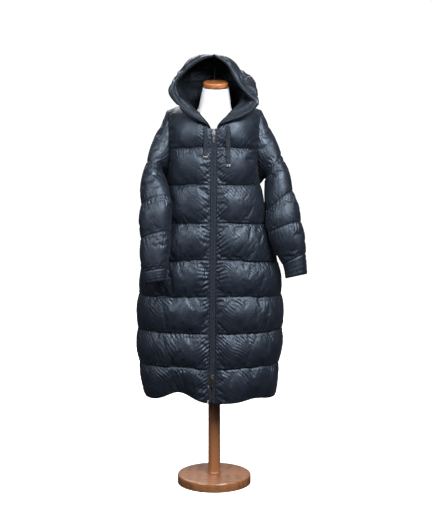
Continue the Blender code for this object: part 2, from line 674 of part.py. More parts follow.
def build_slider(line, name, height, upward, finish):
    """A slider with its bridge, and its pull tab hanging from the bridge.

    upward is 1 where the diamond that parts the teeth is at the top, and -1 at the bottom.
    """
    room = SLIDER_ROOM
    face = -SLIDER_THICK / 2
    hole_deep = BRIDGE_RISE - BRIDGE_WIRE
    shapes = {
        "body": ((SLIDER_WIDE, SLIDER_THICK, SLIDER_LONG), (0, 0, 0), 0.0008),
        "channel": (
            (2 * CHAIN_HALF + room, CHAIN_THICK + room, SLIDER_LONG),
            (0, 0, -upward * SLIDER_LONG * 0.42),
            0,
        ),
        "bridge": (
            (BRIDGE_WIDE, BRIDGE_RISE + 0.001, BRIDGE_LONG),
            (0, face + 0.0005 - BRIDGE_RISE / 2, 0),
            0.0005,
        ),
        "hole": (
            (BRIDGE_WIDE * 2, hole_deep, BRIDGE_LONG - 2 * BRIDGE_WIRE),
            (0, face - hole_deep / 2 - HOLE_LIFT, 0),
            0,
        ),
    }
    for side in (-1, 1):
        middle = side * (TAPE_INNER - room / 2 + SLIDER_WIDE / 2)
        slit = (SLIDER_WIDE, TAPE_THICK + room, SLIDER_LONG * 1.2)
        shapes[f"slit_{side}"] = (slit, (middle, 0, 0), 0)
    place = Vector((line.x(height), line.y(height), height))
    made = {}
    for part, (size, centre, bevel) in shapes.items():
        mesh_data = box_mesh(f"{name}_{part}", size, centre, bevel)
        if part == "body":
            made[part] = object_from(f"zip_slider_{name}", mesh_data, finish)
        else:
            made[part] = helper_object(f"{name}_{part}", mesh_data)
        made[part].location = place
        made[part].rotation_euler = (line.tilt(height, SLIDER_LONG), 0, 0)
    for part in ("channel", "slit_-1", "slit_1"):
        combine(made["body"], made[part], "DIFFERENCE")
    combine(made["bridge"], made["hole"], "DIFFERENCE")
    combine(made["body"], made["bridge"], "UNION")
    hinge = Vector((0, face - hole_deep / 2 - HOLE_LIFT, -HINGE_UNDER))
    hinge.rotate(made["body"].rotation_euler)
    build_pull(name, place + hinge, finish)


def build_pull(name, hinge, finish):
    """A pull tab whose top bar runs through the slider's bridge; its origin is on the hinge."""
    plate_size = (PULL_WIDE, PULL_THICK, PULL_LONG)
    plate_at = (0, 0, PULL_THICK / 2 - PULL_LONG / 2)
    plate = box_mesh(f"pull_{name}", plate_size, plate_at, 0.0005)
    pull = object_from(f"zip_pull_{name}", plate, finish)
    window_size = (PULL_WIDE - 2 * PULL_SIDE_WIRE, PULL_THICK * 3, PULL_WINDOW)
    window_at = (0, 0, -PULL_THICK / 2 - PULL_WINDOW / 2)
    window = helper_object(f"cut_pull_{name}", box_mesh(f"window_{name}", window_size, window_at))
    combine(pull, window, "DIFFERENCE")
    for made in (pull, window):
        made.location = hinge


# ---------------------------------------------------------------- coat


def swollen(grid, normals, swell, out, inwards):
    """Outer and inner grids of a padded wall."""
    swell = swell[..., None]
    outer = grid + normals * (WALL / 2 + out * swell)
    inner = grid - normals * (WALL / 2 + inwards * swell)
    return outer, inner


def seam_rows():
    """Grid rows of a body panel that are quilt seams or edges."""
    return [0] + [YOKE_STEPS + ROW_STEPS * k for k in range(len(BODY))]


def sleeve_swell(grid, seams):
    """Swell of a sleeve: less at the back and inside, where it lies against the coat."""
    turns = np.arange(grid.shape[1]) / grid.shape[1] * 2 * math.pi
    facing = SLEEVE_FACING[0] + SLEEVE_FACING[1] * np.sin(turns) + SLEEVE_FACING[2] * np.cos(turns)
    return row_swell(grid, seams, FULL_ROW, SLEEVE_SWELL_LOW) * facing[None, :]


def build_coat():
    grids, wraps = {}, set()
    halves = {}
    for name, side in SIDES.items():
        front = body_panel(side, False, FRONT_COLUMNS, YOKE_STEPS, ROW_STEPS)
        half = body_panel(side, True, BACK_COLUMNS, YOKE_STEPS, ROW_STEPS)
        grids[f"front_{name}"] = front
        halves[name] = half
        loop = armhole(front, half, YOKE_STEPS, ROW_STEPS)
        seams = len(SLEEVES[name])
        grids[f"sleeve_{name}"] = sleeve_grid(name, loop, (0, seams - 1), ROW_STEPS)
        grids[f"cuff_{name}"] = sleeve_grid(name, loop, (seams - 1, seams), CUFF_STEPS)
        wraps |= {f"sleeve_{name}", f"cuff_{name}"}
        front_neck = front[0, : FRONT_COLUMNS.index(NECK_SHARE) + 1]
        back_neck = half[0, : BACK_COLUMNS.index(NECK_SHARE)][::-1]
        neck = np.concatenate([front_neck, back_neck])
        grids[f"hood_{name}"] = hood_grid(name, neck, HOOD_COLUMNS, 1)[::-1]
    grids["back"] = np.concatenate([halves["right"][:, ::-1], halves["left"][:, 1:]], axis=1)

    book, normals = SeamBook(), {}
    for name, grid in grids.items():
        found = grid_normals(grid, name in wraps)
        middle = grid.reshape(-1, 3).mean(axis=0)
        if ((grid - middle) * found).sum() < 0:
            found = -found
        if name.startswith("front"):
            found[:, 0, 0] = 0
            found = unit(found)
        normals[name] = found
        book.add(grid, found)
    for name, grid in grids.items():
        normals[name] = book.apply(grid, normals[name])

    layers = {}
    for name, grid in grids.items():
        kind = name.split("_")[0]
        if kind in ("front", "back"):
            swell = row_swell(grid, seam_rows(), FULL_ROW, YOKE_SWELL_LOW)
            swell = swell * edge_ramp(grid, *EDGE_RAMPS[kind])
            swell[seam_rows()[-2] :] *= HEM_SWELL
            outer, inner = swollen(grid, normals[name], swell, PUFF_OUT, PUFF_IN)
            gaps = {"top": FLAT_GAP, "last": FLAT_GAP}
            if kind == "back":
                gaps["first"] = FLAT_GAP
        elif kind == "sleeve":
            seams = list(range(0, len(grid), ROW_STEPS))
            swell = sleeve_swell(grid, seams)
            swell[: ROW_STEPS + 1] *= SLEEVE_HEAD_SWELL
            outer, inner = swollen(grid, normals[name], swell, SLEEVE_PUFF, PUFF_IN)
            gaps = {"top": FOLD_GAP, "bottom": FLAT_GAP}
        elif kind == "cuff":
            swell = sleeve_swell(grid, [0, len(grid) - 1])
            outer, inner = swollen(grid, normals[name], swell, CUFF_PUFF, CUFF_PUFF_IN)
            gaps = {"top": FLAT_GAP}
        else:
            last = len(grid) - 1
            seams = [last - row for row in HOOD_SEAM_ROWS][::-1]
            swell = row_swell(grid, seams, HOOD_FULL_ROW) * edge_ramp(grid, *EDGE_RAMPS[kind])
            outer, inner = swollen(grid, normals[name], swell, HOOD_PUFF, PUFF_IN)
            gaps = {"top": FLAT_GAP, "bottom": FOLD_GAP, "last": FLAT_GAP}
        outer, inner = pulled_back(outer, gaps), pulled_back(inner, gaps)
        if kind == "hood":
            side = SIDES[name.split("_")[1]]
            for layer in (outer, inner):
                layer[..., 0] = side * np.maximum(side * layer[..., 0], SEAM_GAP / 2)
        layers[name] = (outer, inner)
        shell(name, outer, inner, "nylon", name in wraps)
    return grids, layers, normals


def build_casings(layers, normals):
    """The hood's casing: a flat strip on the inside of the rim, a seam's gap from the panel."""
    for name in SIDES:
        lining = layers[f"hood_{name}"][1]
        out = grid_normals(lining)
        out *= np.sign((out * normals[f"hood_{name}"]).sum())
        out[0, :, 0] = 0  # the two sides meet squarely at the crown
        inner, out = lining[:, :CASING_COLUMNS], out[:, :CASING_COLUMNS]
        near = inner - out * CASING_GAP
        far = near - out * CASING_THICK
        rows = slice(0, len(inner) - 1)
        near, far = (pulled_back(layer[rows], {"top": FLAT_GAP}) for layer in (near, far))
        shell(f"hood_casing_{name}", near, far, "nylon")


def foremost(tree, places, heights):
    """The lowest y at which rays along +Y at these x places and heights meet the panel."""
    found = []
    for height in heights:
        for x in places:
            hit = tree.ray_cast(Vector((x, -1, height)), Vector((0, 1, 0)))[0]
            if hit is not None:
                found.append(hit.y)
    return min(found)


def build_drawcords():
    """Flat tapes that lie over the yoke's swell and hang straight below it."""
    for name, cord in DRAWCORDS.items():
        panel = bpy.data.objects[f"front_{name}"].data
        tree = BVHTree.FromPolygons(
            [vertex.co for vertex in panel.vertices], [face.vertices for face in panel.polygons]
        )
        heights = np.linspace(cord.top, cord.top - cord.length, CORD_STEPS + 1)
        places = np.linspace(cord.x - TIP_WIDTH / 2, cord.x + TIP_WIDTH / 2, 7)
        step = cord.length / CORD_STEPS
        near = np.linspace(-step, step, 5)
        depth = np.array([foremost(tree, places, height + near) for height in heights])
        depth = np.minimum.accumulate(depth) - CORD_CLEARANCE - CORD_THICK
        front = np.array(
            [
                [(cord.x - CORD_WIDTH / 2, y, z), (cord.x + CORD_WIDTH / 2, y, z)]
                for y, z in zip(depth, heights)
            ]
        )
        shell(f"drawcord_{name}", front, front + (0, CORD_THICK, 0), "nylon")
        end = heights[-1] - TIP_TALL / 2 - SEAM_GAP
        size = (TIP_WIDTH, TIP_THICK, TIP_TALL)
        middle = (cord.x, depth[-1] + CORD_THICK - TIP_THICK / 2, end)
        tip = box_mesh(f"cord_tip_{name}", size, middle, 0.0009)
        object_from(f"cord_tip_{name}", tip, "metal")


def main():
    clear_scene()
    for name in (COLLECTION_NAME, "cutters"):
        bpy.context.scene.collection.children.link(bpy.data.collections.new(name))
    build_stand()
    build_torso()
    build_cap()
    grids, layers, normals = build_coat()
    build_casings(layers, normals)
    line = ZipLine(grids)
    build_zip(line)
    build_slider(line, "top", SLIDER_TOP_Z, 1, "metal")
    build_slider(line, "bottom", SLIDER_BOTTOM_Z, -1, "bronze")
    build_drawcords()


main()
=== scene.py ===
"""Looks of a long hooded puffer coat, worn by a limbless dress form on a round wooden stand.

Metres, +Z up, front facing -Y. "left" and "right" are the viewer's, looking at the coat's front.
The coat's surfaces are worked out from the same named sizes as its solids, on a finer grid. Each
padded panel is then blown up by a short cloth simulation between its quilting seams.
"""

import logging
import math
from collections.abc import Callable
from dataclasses import dataclass
from enum import Enum

import bmesh
import bpy
import numpy as np
from mathutils import Matrix, Vector


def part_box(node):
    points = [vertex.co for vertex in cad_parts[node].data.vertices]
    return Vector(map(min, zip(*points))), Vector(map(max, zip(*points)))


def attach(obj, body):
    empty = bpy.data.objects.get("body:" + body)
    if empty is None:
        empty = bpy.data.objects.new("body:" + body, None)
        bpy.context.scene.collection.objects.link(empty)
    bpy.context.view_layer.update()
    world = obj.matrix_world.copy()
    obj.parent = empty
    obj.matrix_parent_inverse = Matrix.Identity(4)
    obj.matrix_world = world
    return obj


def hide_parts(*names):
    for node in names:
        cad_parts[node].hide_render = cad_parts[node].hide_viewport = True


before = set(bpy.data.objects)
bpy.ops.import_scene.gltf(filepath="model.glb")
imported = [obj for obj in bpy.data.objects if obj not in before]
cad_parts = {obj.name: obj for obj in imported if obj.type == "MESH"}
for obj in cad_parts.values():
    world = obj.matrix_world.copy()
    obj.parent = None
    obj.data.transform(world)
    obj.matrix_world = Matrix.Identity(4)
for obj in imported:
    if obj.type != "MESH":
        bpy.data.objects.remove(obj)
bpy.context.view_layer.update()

LOG = logging.getLogger("puffer_coat")
BODY_NAME = "coat_and_form"

Array = np.ndarray
Point = tuple[float, float, float]


class Side(Enum):
    """The viewer's left and right, with the sign of X on that side."""

    LEFT = -1
    RIGHT = 1

    @property
    def word(self) -> str:
        """The side's word in the names of pieces."""
        return self.name.lower()


# ---------------------------------------------------------------- sizes shared with the solids


@dataclass(frozen=True)
class BodyRing:
    """A quilt seam round the body: its height at the zip and its half sizes."""

    height: float
    side_rise: float
    left: float
    right: float
    front: float
    back: float
    power: float


@dataclass(frozen=True)
class HemWave:
    """Where a front's lower edge rides up and in, around x and as far as reach."""

    lift: float
    push: float
    x: float
    reach: float


@dataclass(frozen=True)
class SleeveRing:
    """A quilt seam round a sleeve: its middle, its outer half axis and its fore half axis."""

    x: float
    y: float
    z: float
    out_x: float
    out_z: float
    depth: float
    rise: float


@dataclass(frozen=True)
class HoodRow:
    """A level of the hood: its rim, the widest place of its side, and the middle of its back."""

    rim_x: float
    rim_y: float
    rim_z: float
    side_x: float
    side_y: float
    side_z: float
    back_y: float
    back_z: float


@dataclass(frozen=True)
class TorsoRing:
    """A level of the torso: half widths to the side, the front and the back."""

    height: float
    half_width: float
    front: float
    back: float
    centre_y: float


BODY = (
    BodyRing(1.271, -0.010, 0.172, 0.168, 0.138, 0.118, 2.5),
    BodyRing(1.138, -0.008, 0.176, 0.166, 0.146, 0.128, 2.4),
    BodyRing(1.002, -0.016, 0.214, 0.194, 0.152, 0.138, 2.3),
    BodyRing(0.8695, -0.022, 0.256, 0.230, 0.156, 0.146, 2.3),
    BodyRing(0.7355, -0.008, 0.275, 0.245, 0.157, 0.148, 2.3),
    BodyRing(0.600, 0.000, 0.281, 0.249, 0.158, 0.150, 2.3),
    BodyRing(0.470, 0.003, 0.277, 0.238, 0.160, 0.152, 2.3),
    BodyRing(0.342, 0.002, 0.257, 0.227, 0.162, 0.152, 2.3),
)
HEM_WAVES = {
    Side.LEFT: HemWave(0.036, 0.020, -0.128, 0.062),
    Side.RIGHT: HemWave(0.012, 0.006, 0.150, 0.050),
}
HEM_WAVE_ROWS = 1.4
SLEEVES = {
    Side.LEFT: (
        SleeveRing(-0.2155, -0.052, 1.192, -0.0250, 0.017, 0.060, 0.022),
        SleeveRing(-0.2080, -0.142, 1.080, -0.0500, -0.013, 0.040, 0.018),
        SleeveRing(-0.2085, -0.164, 0.960, -0.0505, -0.012, 0.040, 0.014),
        SleeveRing(-0.2110, -0.184, 0.838, -0.0430, -0.007, 0.034, 0.008),
        SleeveRing(-0.2090, -0.188, 0.795, -0.0370, -0.006, 0.030, 0.006),
    ),
    Side.RIGHT: (
        SleeveRing(0.2145, -0.030, 1.192, 0.0260, 0.043, 0.058, 0.010),
        SleeveRing(0.2360, -0.074, 1.074, 0.0450, 0.037, 0.052, 0.012),
        SleeveRing(0.2530, -0.100, 0.982, 0.0570, 0.020, 0.052, 0.012),
        SleeveRing(0.2880, -0.112, 0.868, 0.0390, 0.020, 0.037, 0.008),
        SleeveRing(0.2970, -0.117, 0.806, 0.0370, 0.008, 0.033, 0.006),
    ),
}
HOOD = {
    Side.LEFT: (
        HoodRow(-0.072, -0.146, 1.379, -0.120, 0.010, 1.464, 0.108, 1.478),
        HoodRow(-0.122, -0.124, 1.416, -0.131, 0.020, 1.488, 0.120, 1.501),
        HoodRow(-0.154, -0.090, 1.460, -0.130, 0.028, 1.514, 0.127, 1.524),
        HoodRow(-0.142, -0.068, 1.500, -0.114, 0.034, 1.541, 0.125, 1.546),
        HoodRow(-0.111, -0.058, 1.539, -0.084, 0.040, 1.565, 0.116, 1.567),
        HoodRow(-0.060, -0.056, 1.577, -0.044, 0.040, 1.586, 0.100, 1.581),
        HoodRow(0.000, -0.058, 1.597, 0.000, 0.030, 1.598, 0.075, 1.588),
    ),
    Side.RIGHT: (
        HoodRow(0.082, -0.142, 1.375, 0.128, 0.008, 1.460, 0.108, 1.478),
        HoodRow(0.128, -0.124, 1.398, 0.144, 0.014, 1.476, 0.120, 1.501),
        HoodRow(0.152, -0.096, 1.426, 0.134, 0.024, 1.502, 0.127, 1.524),
        HoodRow(0.114, -0.078, 1.466, 0.098, 0.032, 1.528, 0.125, 1.546),
        HoodRow(0.080, -0.066, 1.514, 0.068, 0.037, 1.555, 0.116, 1.567),
        HoodRow(0.048, -0.058, 1.566, 0.041, 0.038, 1.580, 0.100, 1.581),
        HoodRow(0.000, -0.058, 1.597, 0.000, 0.030, 1.598, 0.075, 1.588),
    ),
}
TORSO = (
    TorsoRing(0.8045, 0.085, 0.060, 0.060, 0.000),
    TorsoRing(0.812, 0.118, 0.084, 0.084, 0.000),
    TorsoRing(0.835, 0.143, 0.103, 0.103, 0.000),
    TorsoRing(0.900, 0.156, 0.112, 0.112, 0.000),
    TorsoRing(1.000, 0.134, 0.096, 0.094, 0.000),
    TorsoRing(1.080, 0.118, 0.086, 0.080, 0.000),
    TorsoRing(1.160, 0.127, 0.095, 0.085, 0.000),
    TorsoRing(1.250, 0.140, 0.108, 0.090, 0.000),
    TorsoRing(1.320, 0.148, 0.096, 0.086, 0.002),
    TorsoRing(1.362, 0.122, 0.074, 0.072, 0.004),
    TorsoRing(1.385, 0.076, 0.059, 0.062, 0.004),
    TorsoRing(1.402, 0.062, 0.053, 0.056, 0.004),
    TorsoRing(1.420, 0.057, 0.050, 0.052, 0.002),
    TorsoRing(1.445, 0.053, 0.048, 0.049, 0.000),
    TorsoRing(1.474, 0.047, 0.0455, 0.0455, -0.002),
)
HOOD_STAND = ((0.012, -0.010, 0.014), (0.004, 0.002, 0.026), (0, 0.006, 0.026))
HOOD_SHARES = (0.0, 0.08, 0.18, 0.36, 0.56, 0.74, 0.88, 1.0)
HOOD_SEAM_ROWS = (0, 1, 3, 5, 8)
HOOD_CORNER_OUT, HOOD_CORNER_BACK = 0.72, 0.80
FRONT_NECK_SHARES = (0.0, 0.07, 0.18, 0.36, 0.60)
BACK_NECK_SHARES = (0.60, 0.38, 0.18, 0.0)
NECK_SHARE = 0.60

SEAM_GAP = 0.00004
FLAT_GAP, FOLD_GAP = SEAM_GAP / 2, 0.0006
WALL = 0.003
PUFF_OUT, PUFF_IN, FULL_ROW = 0.017, 0.005, 0.12
SLEEVE_PUFF, HOOD_PUFF, HOOD_FULL_ROW = 0.012, 0.011, 0.06
SLEEVE_FACING = (0.6, 0.2, 0.2)
HEM_SWELL, SLEEVE_HEAD_SWELL = 0.62, 0.62
SIDE_EASE = 0.090
YOKE_SWELL_LOW, SLEEVE_SWELL_LOW = 1.6, 1.3
UNDERARM_ROUND, ARMHOLE_DEPTH = 0.55, 0.070
ZIP_TOP_Z, ZIP_X_TOP, ZIP_X_BOTTOM = 1.338, -0.001, -0.008
NECK_SET_BACK = 0.005
NECK_POINT, BACK_NECK = (0.100, 0.004, 1.420), (0.0, 0.086, 1.430)
NECK_FRONT_PULLS = ((0.046, -0.128, 1.374), (0.103, -0.068, 1.402))
NECK_BACK_PULLS = ((0.062, 0.087, 1.430), (0.100, 0.048, 1.423))
SHOULDER_POINT = (0.170, 0.004, 1.397)
PANEL_EDGE, SLIDER_BOTTOM_Z = 0.0103, 0.4420
SPLIT_LEFT, SPLIT_RIGHT, SPLIT_WAVES = 0.0075, 0.0015, 1.45
CASING_SHARE, CASING_GAP, CASING_THICK = 0.18, 0.0012, 0.0012

# ---------------------------------------------------------------- sizes of the looks alone

FINE = 7  # rows of a visible panel for each row of its solid
YOKE_STEPS, ROW_STEPS = 4 * FINE, 3 * FINE
FRONT_COLUMNS, BACK_COLUMNS, CUFF_STEPS, HOOD_STEPS = 66, 61, 14, 6
START_SWELL = 0.72  # share of the full swell that the cloth starts its simulation from
RIPPLE_SIZE, RIPPLE_HEIGHT = 0.03, 0.0012
SEAM_WANDER = ((0.0026, 0.045, 71), (0.0012, 0.018, 72))  # height, size and seed of each noise
RIGHT_SLEEVE_FACING = (0.74, 0.2, 0.06)
FRONT_REACH, BACK_GATHER_WIDE, HEM_FLOOR = 0.050, 0.0175, 0.45
HOOD_RIM_STITCH, CUFF_FOLD, ELASTIC_ROWS = 0.045, 0.0085, 4
GATHER_LEANS = {
    "front_left": ((0.0, 0.05, 0.12, 0.25), (-1.3, -0.6, 0.7, 0.9)),
    "front_right": ((0.0, 0.12, 0.22), (-1.4, -0.8, 0.2)),
    "back": ((0.0, 0.2, 0.45, 0.7, 0.9), (-0.7, 0.5, -0.3, 0.6, 0.9)),
}
CORD_GUARDS = {  # x, half width, and the heights between which a cord hangs
    "front_left": ((-0.030, 0.014, 1.235, 1.345),),
    "front_right": ((0.050, 0.014, 1.200, 1.345),),
}


# ---------------------------------------------------------------- small tools


def smooth_rows(rows: Array, place: float) -> Array:
    """Read a table at a fractional place, on a smooth curve through all of its rows.

    Args:
        rows: The table, a row for each whole place.
        place: Where to read it.

    Returns:
        The row at that place.
    """
    rows = np.asarray(rows, float)
    last = len(rows) - 1
    first = min(int(place), last - 1)
    t = place - first
    p0, p1, p2, p3 = (rows[min(max(first + k, 0), last)] for k in (-1, 0, 1, 2))
    if first == 0:
        p0 = 2 * p1 - p2
    if first == last - 1:
        p3 = 2 * p2 - p1
    slope_in, slope_out = (p2 - p0) / 2, (p3 - p1) / 2
    return (
        (2 * t**3 - 3 * t**2 + 1) * p1
        + (t**3 - 2 * t**2 + t) * slope_in
        + (3 * t**2 - 2 * t**3) * p2
        + (t**3 - t**2) * slope_out
    )


def even_points(points: Array, shares: Array) -> Array:
    """Points at the given shares of a polyline's length.

    Args:
        points: The polyline.
        shares: Shares of its length, from 0 to 1.

    Returns:
        A point for each share.
    """
    points = np.asarray(points, float)
    run = np.concatenate([[0.0], np.cumsum(np.linalg.norm(np.diff(points, axis=0), axis=1))])
    at = np.asarray(shares, float) * run[-1]
    return np.stack([np.interp(at, run, points[:, axis]) for axis in range(3)], axis=1)


def bezier(p0: Point, p1: Point, p2: Point, p3: Point, t: float) -> Array:
    """A point of a cubic Bezier curve at t."""
    q0, q1, q2, q3 = (np.asarray(p, float) for p in (p0, p1, p2, p3))
    return (1 - t) ** 3 * q0 + 3 * (1 - t) ** 2 * t * q1 + 3 * (1 - t) * t**2 * q2 + t**3 * q3


def unit(vectors: Array) -> Array:
    """The vectors, each at length 1."""
    return vectors / np.maximum(np.linalg.norm(vectors, axis=-1, keepdims=True), 1e-12)


def mirrored(point: Point, side: Side) -> Array:
    """A point given for the right side, on the asked side."""
    return np.array([point[0] * side.value, point[1], point[2]])


def numbers(row: object) -> list[float]:
    """The fields of a table row, in order."""
    return list(vars(row).values())


def value_noise(points: Array, size: float, seed: int) -> Array:
    """Smooth noise in space, the same on every run.

    Args:
        points: Points, the last axis holding x, y and z.
        size: Size of one cell of the noise.
        seed: Which noise.

    Returns:
        A value from -1 to 1 for each point.
    """
    place = points / size
    cell = np.floor(place).astype(np.int64)
    part = place - cell
    part = part * part * (3 - 2 * part)
    total = np.zeros(points.shape[:-1])
    for corner in np.ndindex(2, 2, 2):
        at = cell + corner
        mixed = (at[..., 0] * 73856093) ^ (at[..., 1] * 19349663) ^ (at[..., 2] * 83492791)
        mixed = (mixed ^ (seed * 40503)) & 0xFFFFFF
        mixed = (mixed * 48271 + 11) % 2147483647
        mixed = (mixed * 48271) % 2147483647
        share = np.prod(np.where(corner, part, 1 - part), axis=-1)
        total += share * (mixed / 1073741823.5 - 1)
    return total


# ---------------------------------------------------------------- the coat's surfaces


@dataclass(frozen=True)
class CoatCut:
    """The coat's middle surfaces, as grids of points: rows from the top, columns across."""

    front_columns: int = FRONT_COLUMNS
    back_columns: int = BACK_COLUMNS

    def body_ring(self, level: float) -> BodyRing:
        """The quilt seam at a fractional level."""
        return BodyRing(*smooth_rows([numbers(ring) for ring in BODY], level))

    def zip_x(self, height: float) -> float:
        """The zip's middle line at a height."""
        share = (ZIP_TOP_Z - height) / (ZIP_TOP_Z - BODY[-1].height)
        return ZIP_X_TOP + (ZIP_X_BOTTOM - ZIP_X_TOP) * share

    def split_at(self, side: Side, height: float) -> float:
        """How far an edge of the open zip swings aside at a height."""
        reach = SLIDER_BOTTOM_Z - BODY[-1].height
        open_share = max(0.0, (SLIDER_BOTTOM_Z - height) / reach)
        if side is Side.LEFT:
            return SPLIT_LEFT * math.sin(open_share * math.pi * SPLIT_WAVES) ** 2 * open_share**0.5
        return SPLIT_RIGHT * open_share

    def ring_quarter(
        self, level: float, side: Side, back: bool, edge_y: float, shares: Array
    ) -> Array:
        """A quarter of a body ring, from the centre line to the side or the armhole.

        Args:
            level: Fractional level of the ring.
            side: Which side.
            back: Whether it is of the back.
            edge_y: How far its last point is from the side's line.
            shares: Shares of its length at which it has points.

        Returns:
            Its points.
        """
        ring = self.body_ring(level)
        middle = self.zip_x(ring.height)
        half = (ring.right if side is Side.RIGHT else ring.left) - side.value * middle
        deep = ring.back if back else ring.front
        start_x = 0.0 if back else PANEL_EDGE + self.split_at(side, ring.height)
        first = math.asin((start_x / half) ** (ring.power / 2))
        last = math.acos((edge_y / deep) ** (ring.power / 2))
        turn = np.linspace(first, last, 241)
        x = half * np.sin(turn) ** (2 / ring.power)
        y = deep * np.cos(turn).clip(0) ** (2 / ring.power) * (1 if back else -1)
        z = ring.height + ring.side_rise * (x / half) ** 2
        points = np.stack([middle + side.value * x, y, z], axis=1)
        if back:
            points[:, 0] -= middle * (1 - (x / half) ** 2)
        points = even_points(points, shares)
        if not back:
            wave = HEM_WAVES[side]
            reach = (1 - shares**8) * np.exp(-(((points[:, 0] - wave.x) / wave.reach) ** 2))
            rows_in = max(0.0, level - (len(BODY) - 1 - HEM_WAVE_ROWS))
            amount = (rows_in / HEM_WAVE_ROWS) ** 1.5
            points[:, 2] += wave.lift * reach * amount
            points[:, 1] += wave.push * reach * amount
        return points

    def top_point(self, side: Side, back: bool, share: float) -> Array:
        """A point of a panel's top edge: neckline first, then the shoulder seam."""
        neck_point = mirrored(NECK_POINT, side)
        if share > NECK_SHARE:
            along = (share - NECK_SHARE) / (1 - NECK_SHARE)
            return (1 - along) * neck_point + along * mirrored(SHOULDER_POINT, side)
        if back:
            start, pulls = BACK_NECK, NECK_BACK_PULLS
        else:
            x = self.zip_x(ZIP_TOP_Z) + side.value * PANEL_EDGE
            start, pulls = (x, NECK_SET_BACK - BODY[0].front, ZIP_TOP_Z), NECK_FRONT_PULLS
        before, after = (mirrored(pull, side) for pull in pulls)
        return bezier(start, before, after, neck_point, share / NECK_SHARE)

    def body_panel(self, side: Side, back: bool) -> Array:
        """The grid of a front, or of one half of the back, from the shoulder to the hem.

        Args:
            side: Which side.
            back: Whether it is a half of the back.

        Returns:
            The grid.
        """
        shares = np.linspace(0, 1, self.back_columns if back else self.front_columns)
        bottom = self.ring_quarter(0, side, back, ARMHOLE_DEPTH, shares)
        top = np.array([self.top_point(side, back, share) for share in shares])
        rows = []
        roundness = shares**0.5
        for step in range(YOKE_STEPS):
            up = 1 - step / YOKE_STEPS
            turn = up * math.pi / 2
            share = roundness * math.cos(turn) + (1 - roundness) * math.cos(turn) ** 2
            row = bottom.copy()
            row[:, 0] += (top[:, 0] - bottom[:, 0]) * up
            row[:, 1] = top[:, 1] + (bottom[:, 1] - top[:, 1]) * share
            row[:, 2] += (top[:, 2] - bottom[:, 2]) * math.sin(turn)
            rows.append(row)
        for step in range((len(BODY) - 1) * ROW_STEPS + 1):
            level = step / ROW_STEPS
            edge_y = ARMHOLE_DEPTH * max(0.0, 1 - level**2) ** UNDERARM_ROUND
            rows.append(self.ring_quarter(level, side, back, edge_y, shares))
        return np.array(rows)

    def sleeve(self, side: Side, loop: Array, first: int, last: int, steps: int) -> Array:
        """The grid of a sleeve or cuff, between two rows of the sleeve's table.

        Args:
            side: Which side.
            loop: The armhole's points.
            first: Row of the table that it starts at; 0 is the armhole.
            last: Row that it ends at.
            steps: Grid rows for each row of the table.

        Returns:
            The grid, whose last column is next to its first.
        """
        turns = np.arange(len(loop)) / len(loop) * 2 * math.pi
        rings = [loop]
        for ring in SLEEVES[side]:
            out = np.array([ring.out_x, 0.0, ring.out_z])
            fore = np.array([0.0, -ring.depth, ring.rise])
            centre = np.array([ring.x, ring.y, ring.z])
            rings.append(centre + np.outer(np.cos(turns), out) + np.outer(np.sin(turns), fore))
        flat = np.array(rings).reshape(len(rings), -1)
        places = [first + step / steps for step in range((last - first) * steps + 1)]
        return np.array([smooth_rows(flat, place).reshape(-1, 3) for place in places])

    def hood(self, side: Side, neck: Array, shares: Array, steps: int) -> Array:
        """The grid of a side of the hood, from the crown seam down to the neckline.

        Args:
            side: Which side.
            neck: Its points on the neckline, from the rim to the back.
            shares: The share of the hood's depth that each of those has.
            steps: Grid rows for each row of the table.

        Returns:
            The grid; columns run from the rim to the middle of the back.
        """
        places = np.interp(shares, HOOD_SHARES, np.linspace(0, 2, len(HOOD_SHARES)))
        stand = np.array([smooth_rows(HOOD_STAND, place) for place in places])
        stand[:, 0] *= side.value
        flat = [neck.reshape(-1), (neck + stand).reshape(-1)]
        for row in HOOD[side]:
            rim = (row.rim_x, row.rim_y, row.rim_z)
            wide = (row.side_x, row.side_y, row.side_z)
            corner_y = row.side_y + (row.back_y - row.side_y) * HOOD_CORNER_BACK
            corner = (row.side_x * HOOD_CORNER_OUT, corner_y, row.back_z)
            course = [rim, wide, corner, (0.0, row.back_y, row.back_z)]
            curve = [smooth_rows(course, place) for place in np.linspace(0, 3, 97)]
            flat.append(even_points(curve, shares).reshape(-1))
        places = [step / steps for step in range((len(flat) - 1) * steps + 1)]
        grid = np.array([smooth_rows(flat, place).reshape(-1, 3) for place in places])
        return grid[::-1]


def grid_normals(grid: Array, wraps: bool) -> Array:
    """Outward unit normals of a grid, with its sides turned outwards as a whole.

    Args:
        grid: The grid.
        wraps: Whether its last column is next to its first.

    Returns:
        A normal for each point.
    """
    down = np.gradient(grid, axis=0)
    if wraps:
        across = (np.roll(grid, -1, axis=1) - np.roll(grid, 1, axis=1)) / 2
    else:
        across = np.gradient(grid, axis=1)
    normals = unit(np.cross(across, down))
    middle = grid.reshape(-1, 3).mean(axis=0)
    return normals if ((grid - middle) * normals).sum() > 0 else -normals


def edge_ramp(grid: Array, reach_first: float, reach_last: float) -> Array:
    """How much of its full swell each point has, by its distance from the side edges."""
    run = np.linalg.norm(np.diff(grid, axis=1), axis=2).cumsum(axis=1)
    run = np.concatenate([np.zeros((len(grid), 1)), run], axis=1)
    first = np.clip(run / reach_first, 0, 1)
    last = np.clip((run[:, -1:] - run) / reach_last, 0, 1)
    return np.sin(first * math.pi / 2) * np.sin(last * math.pi / 2)


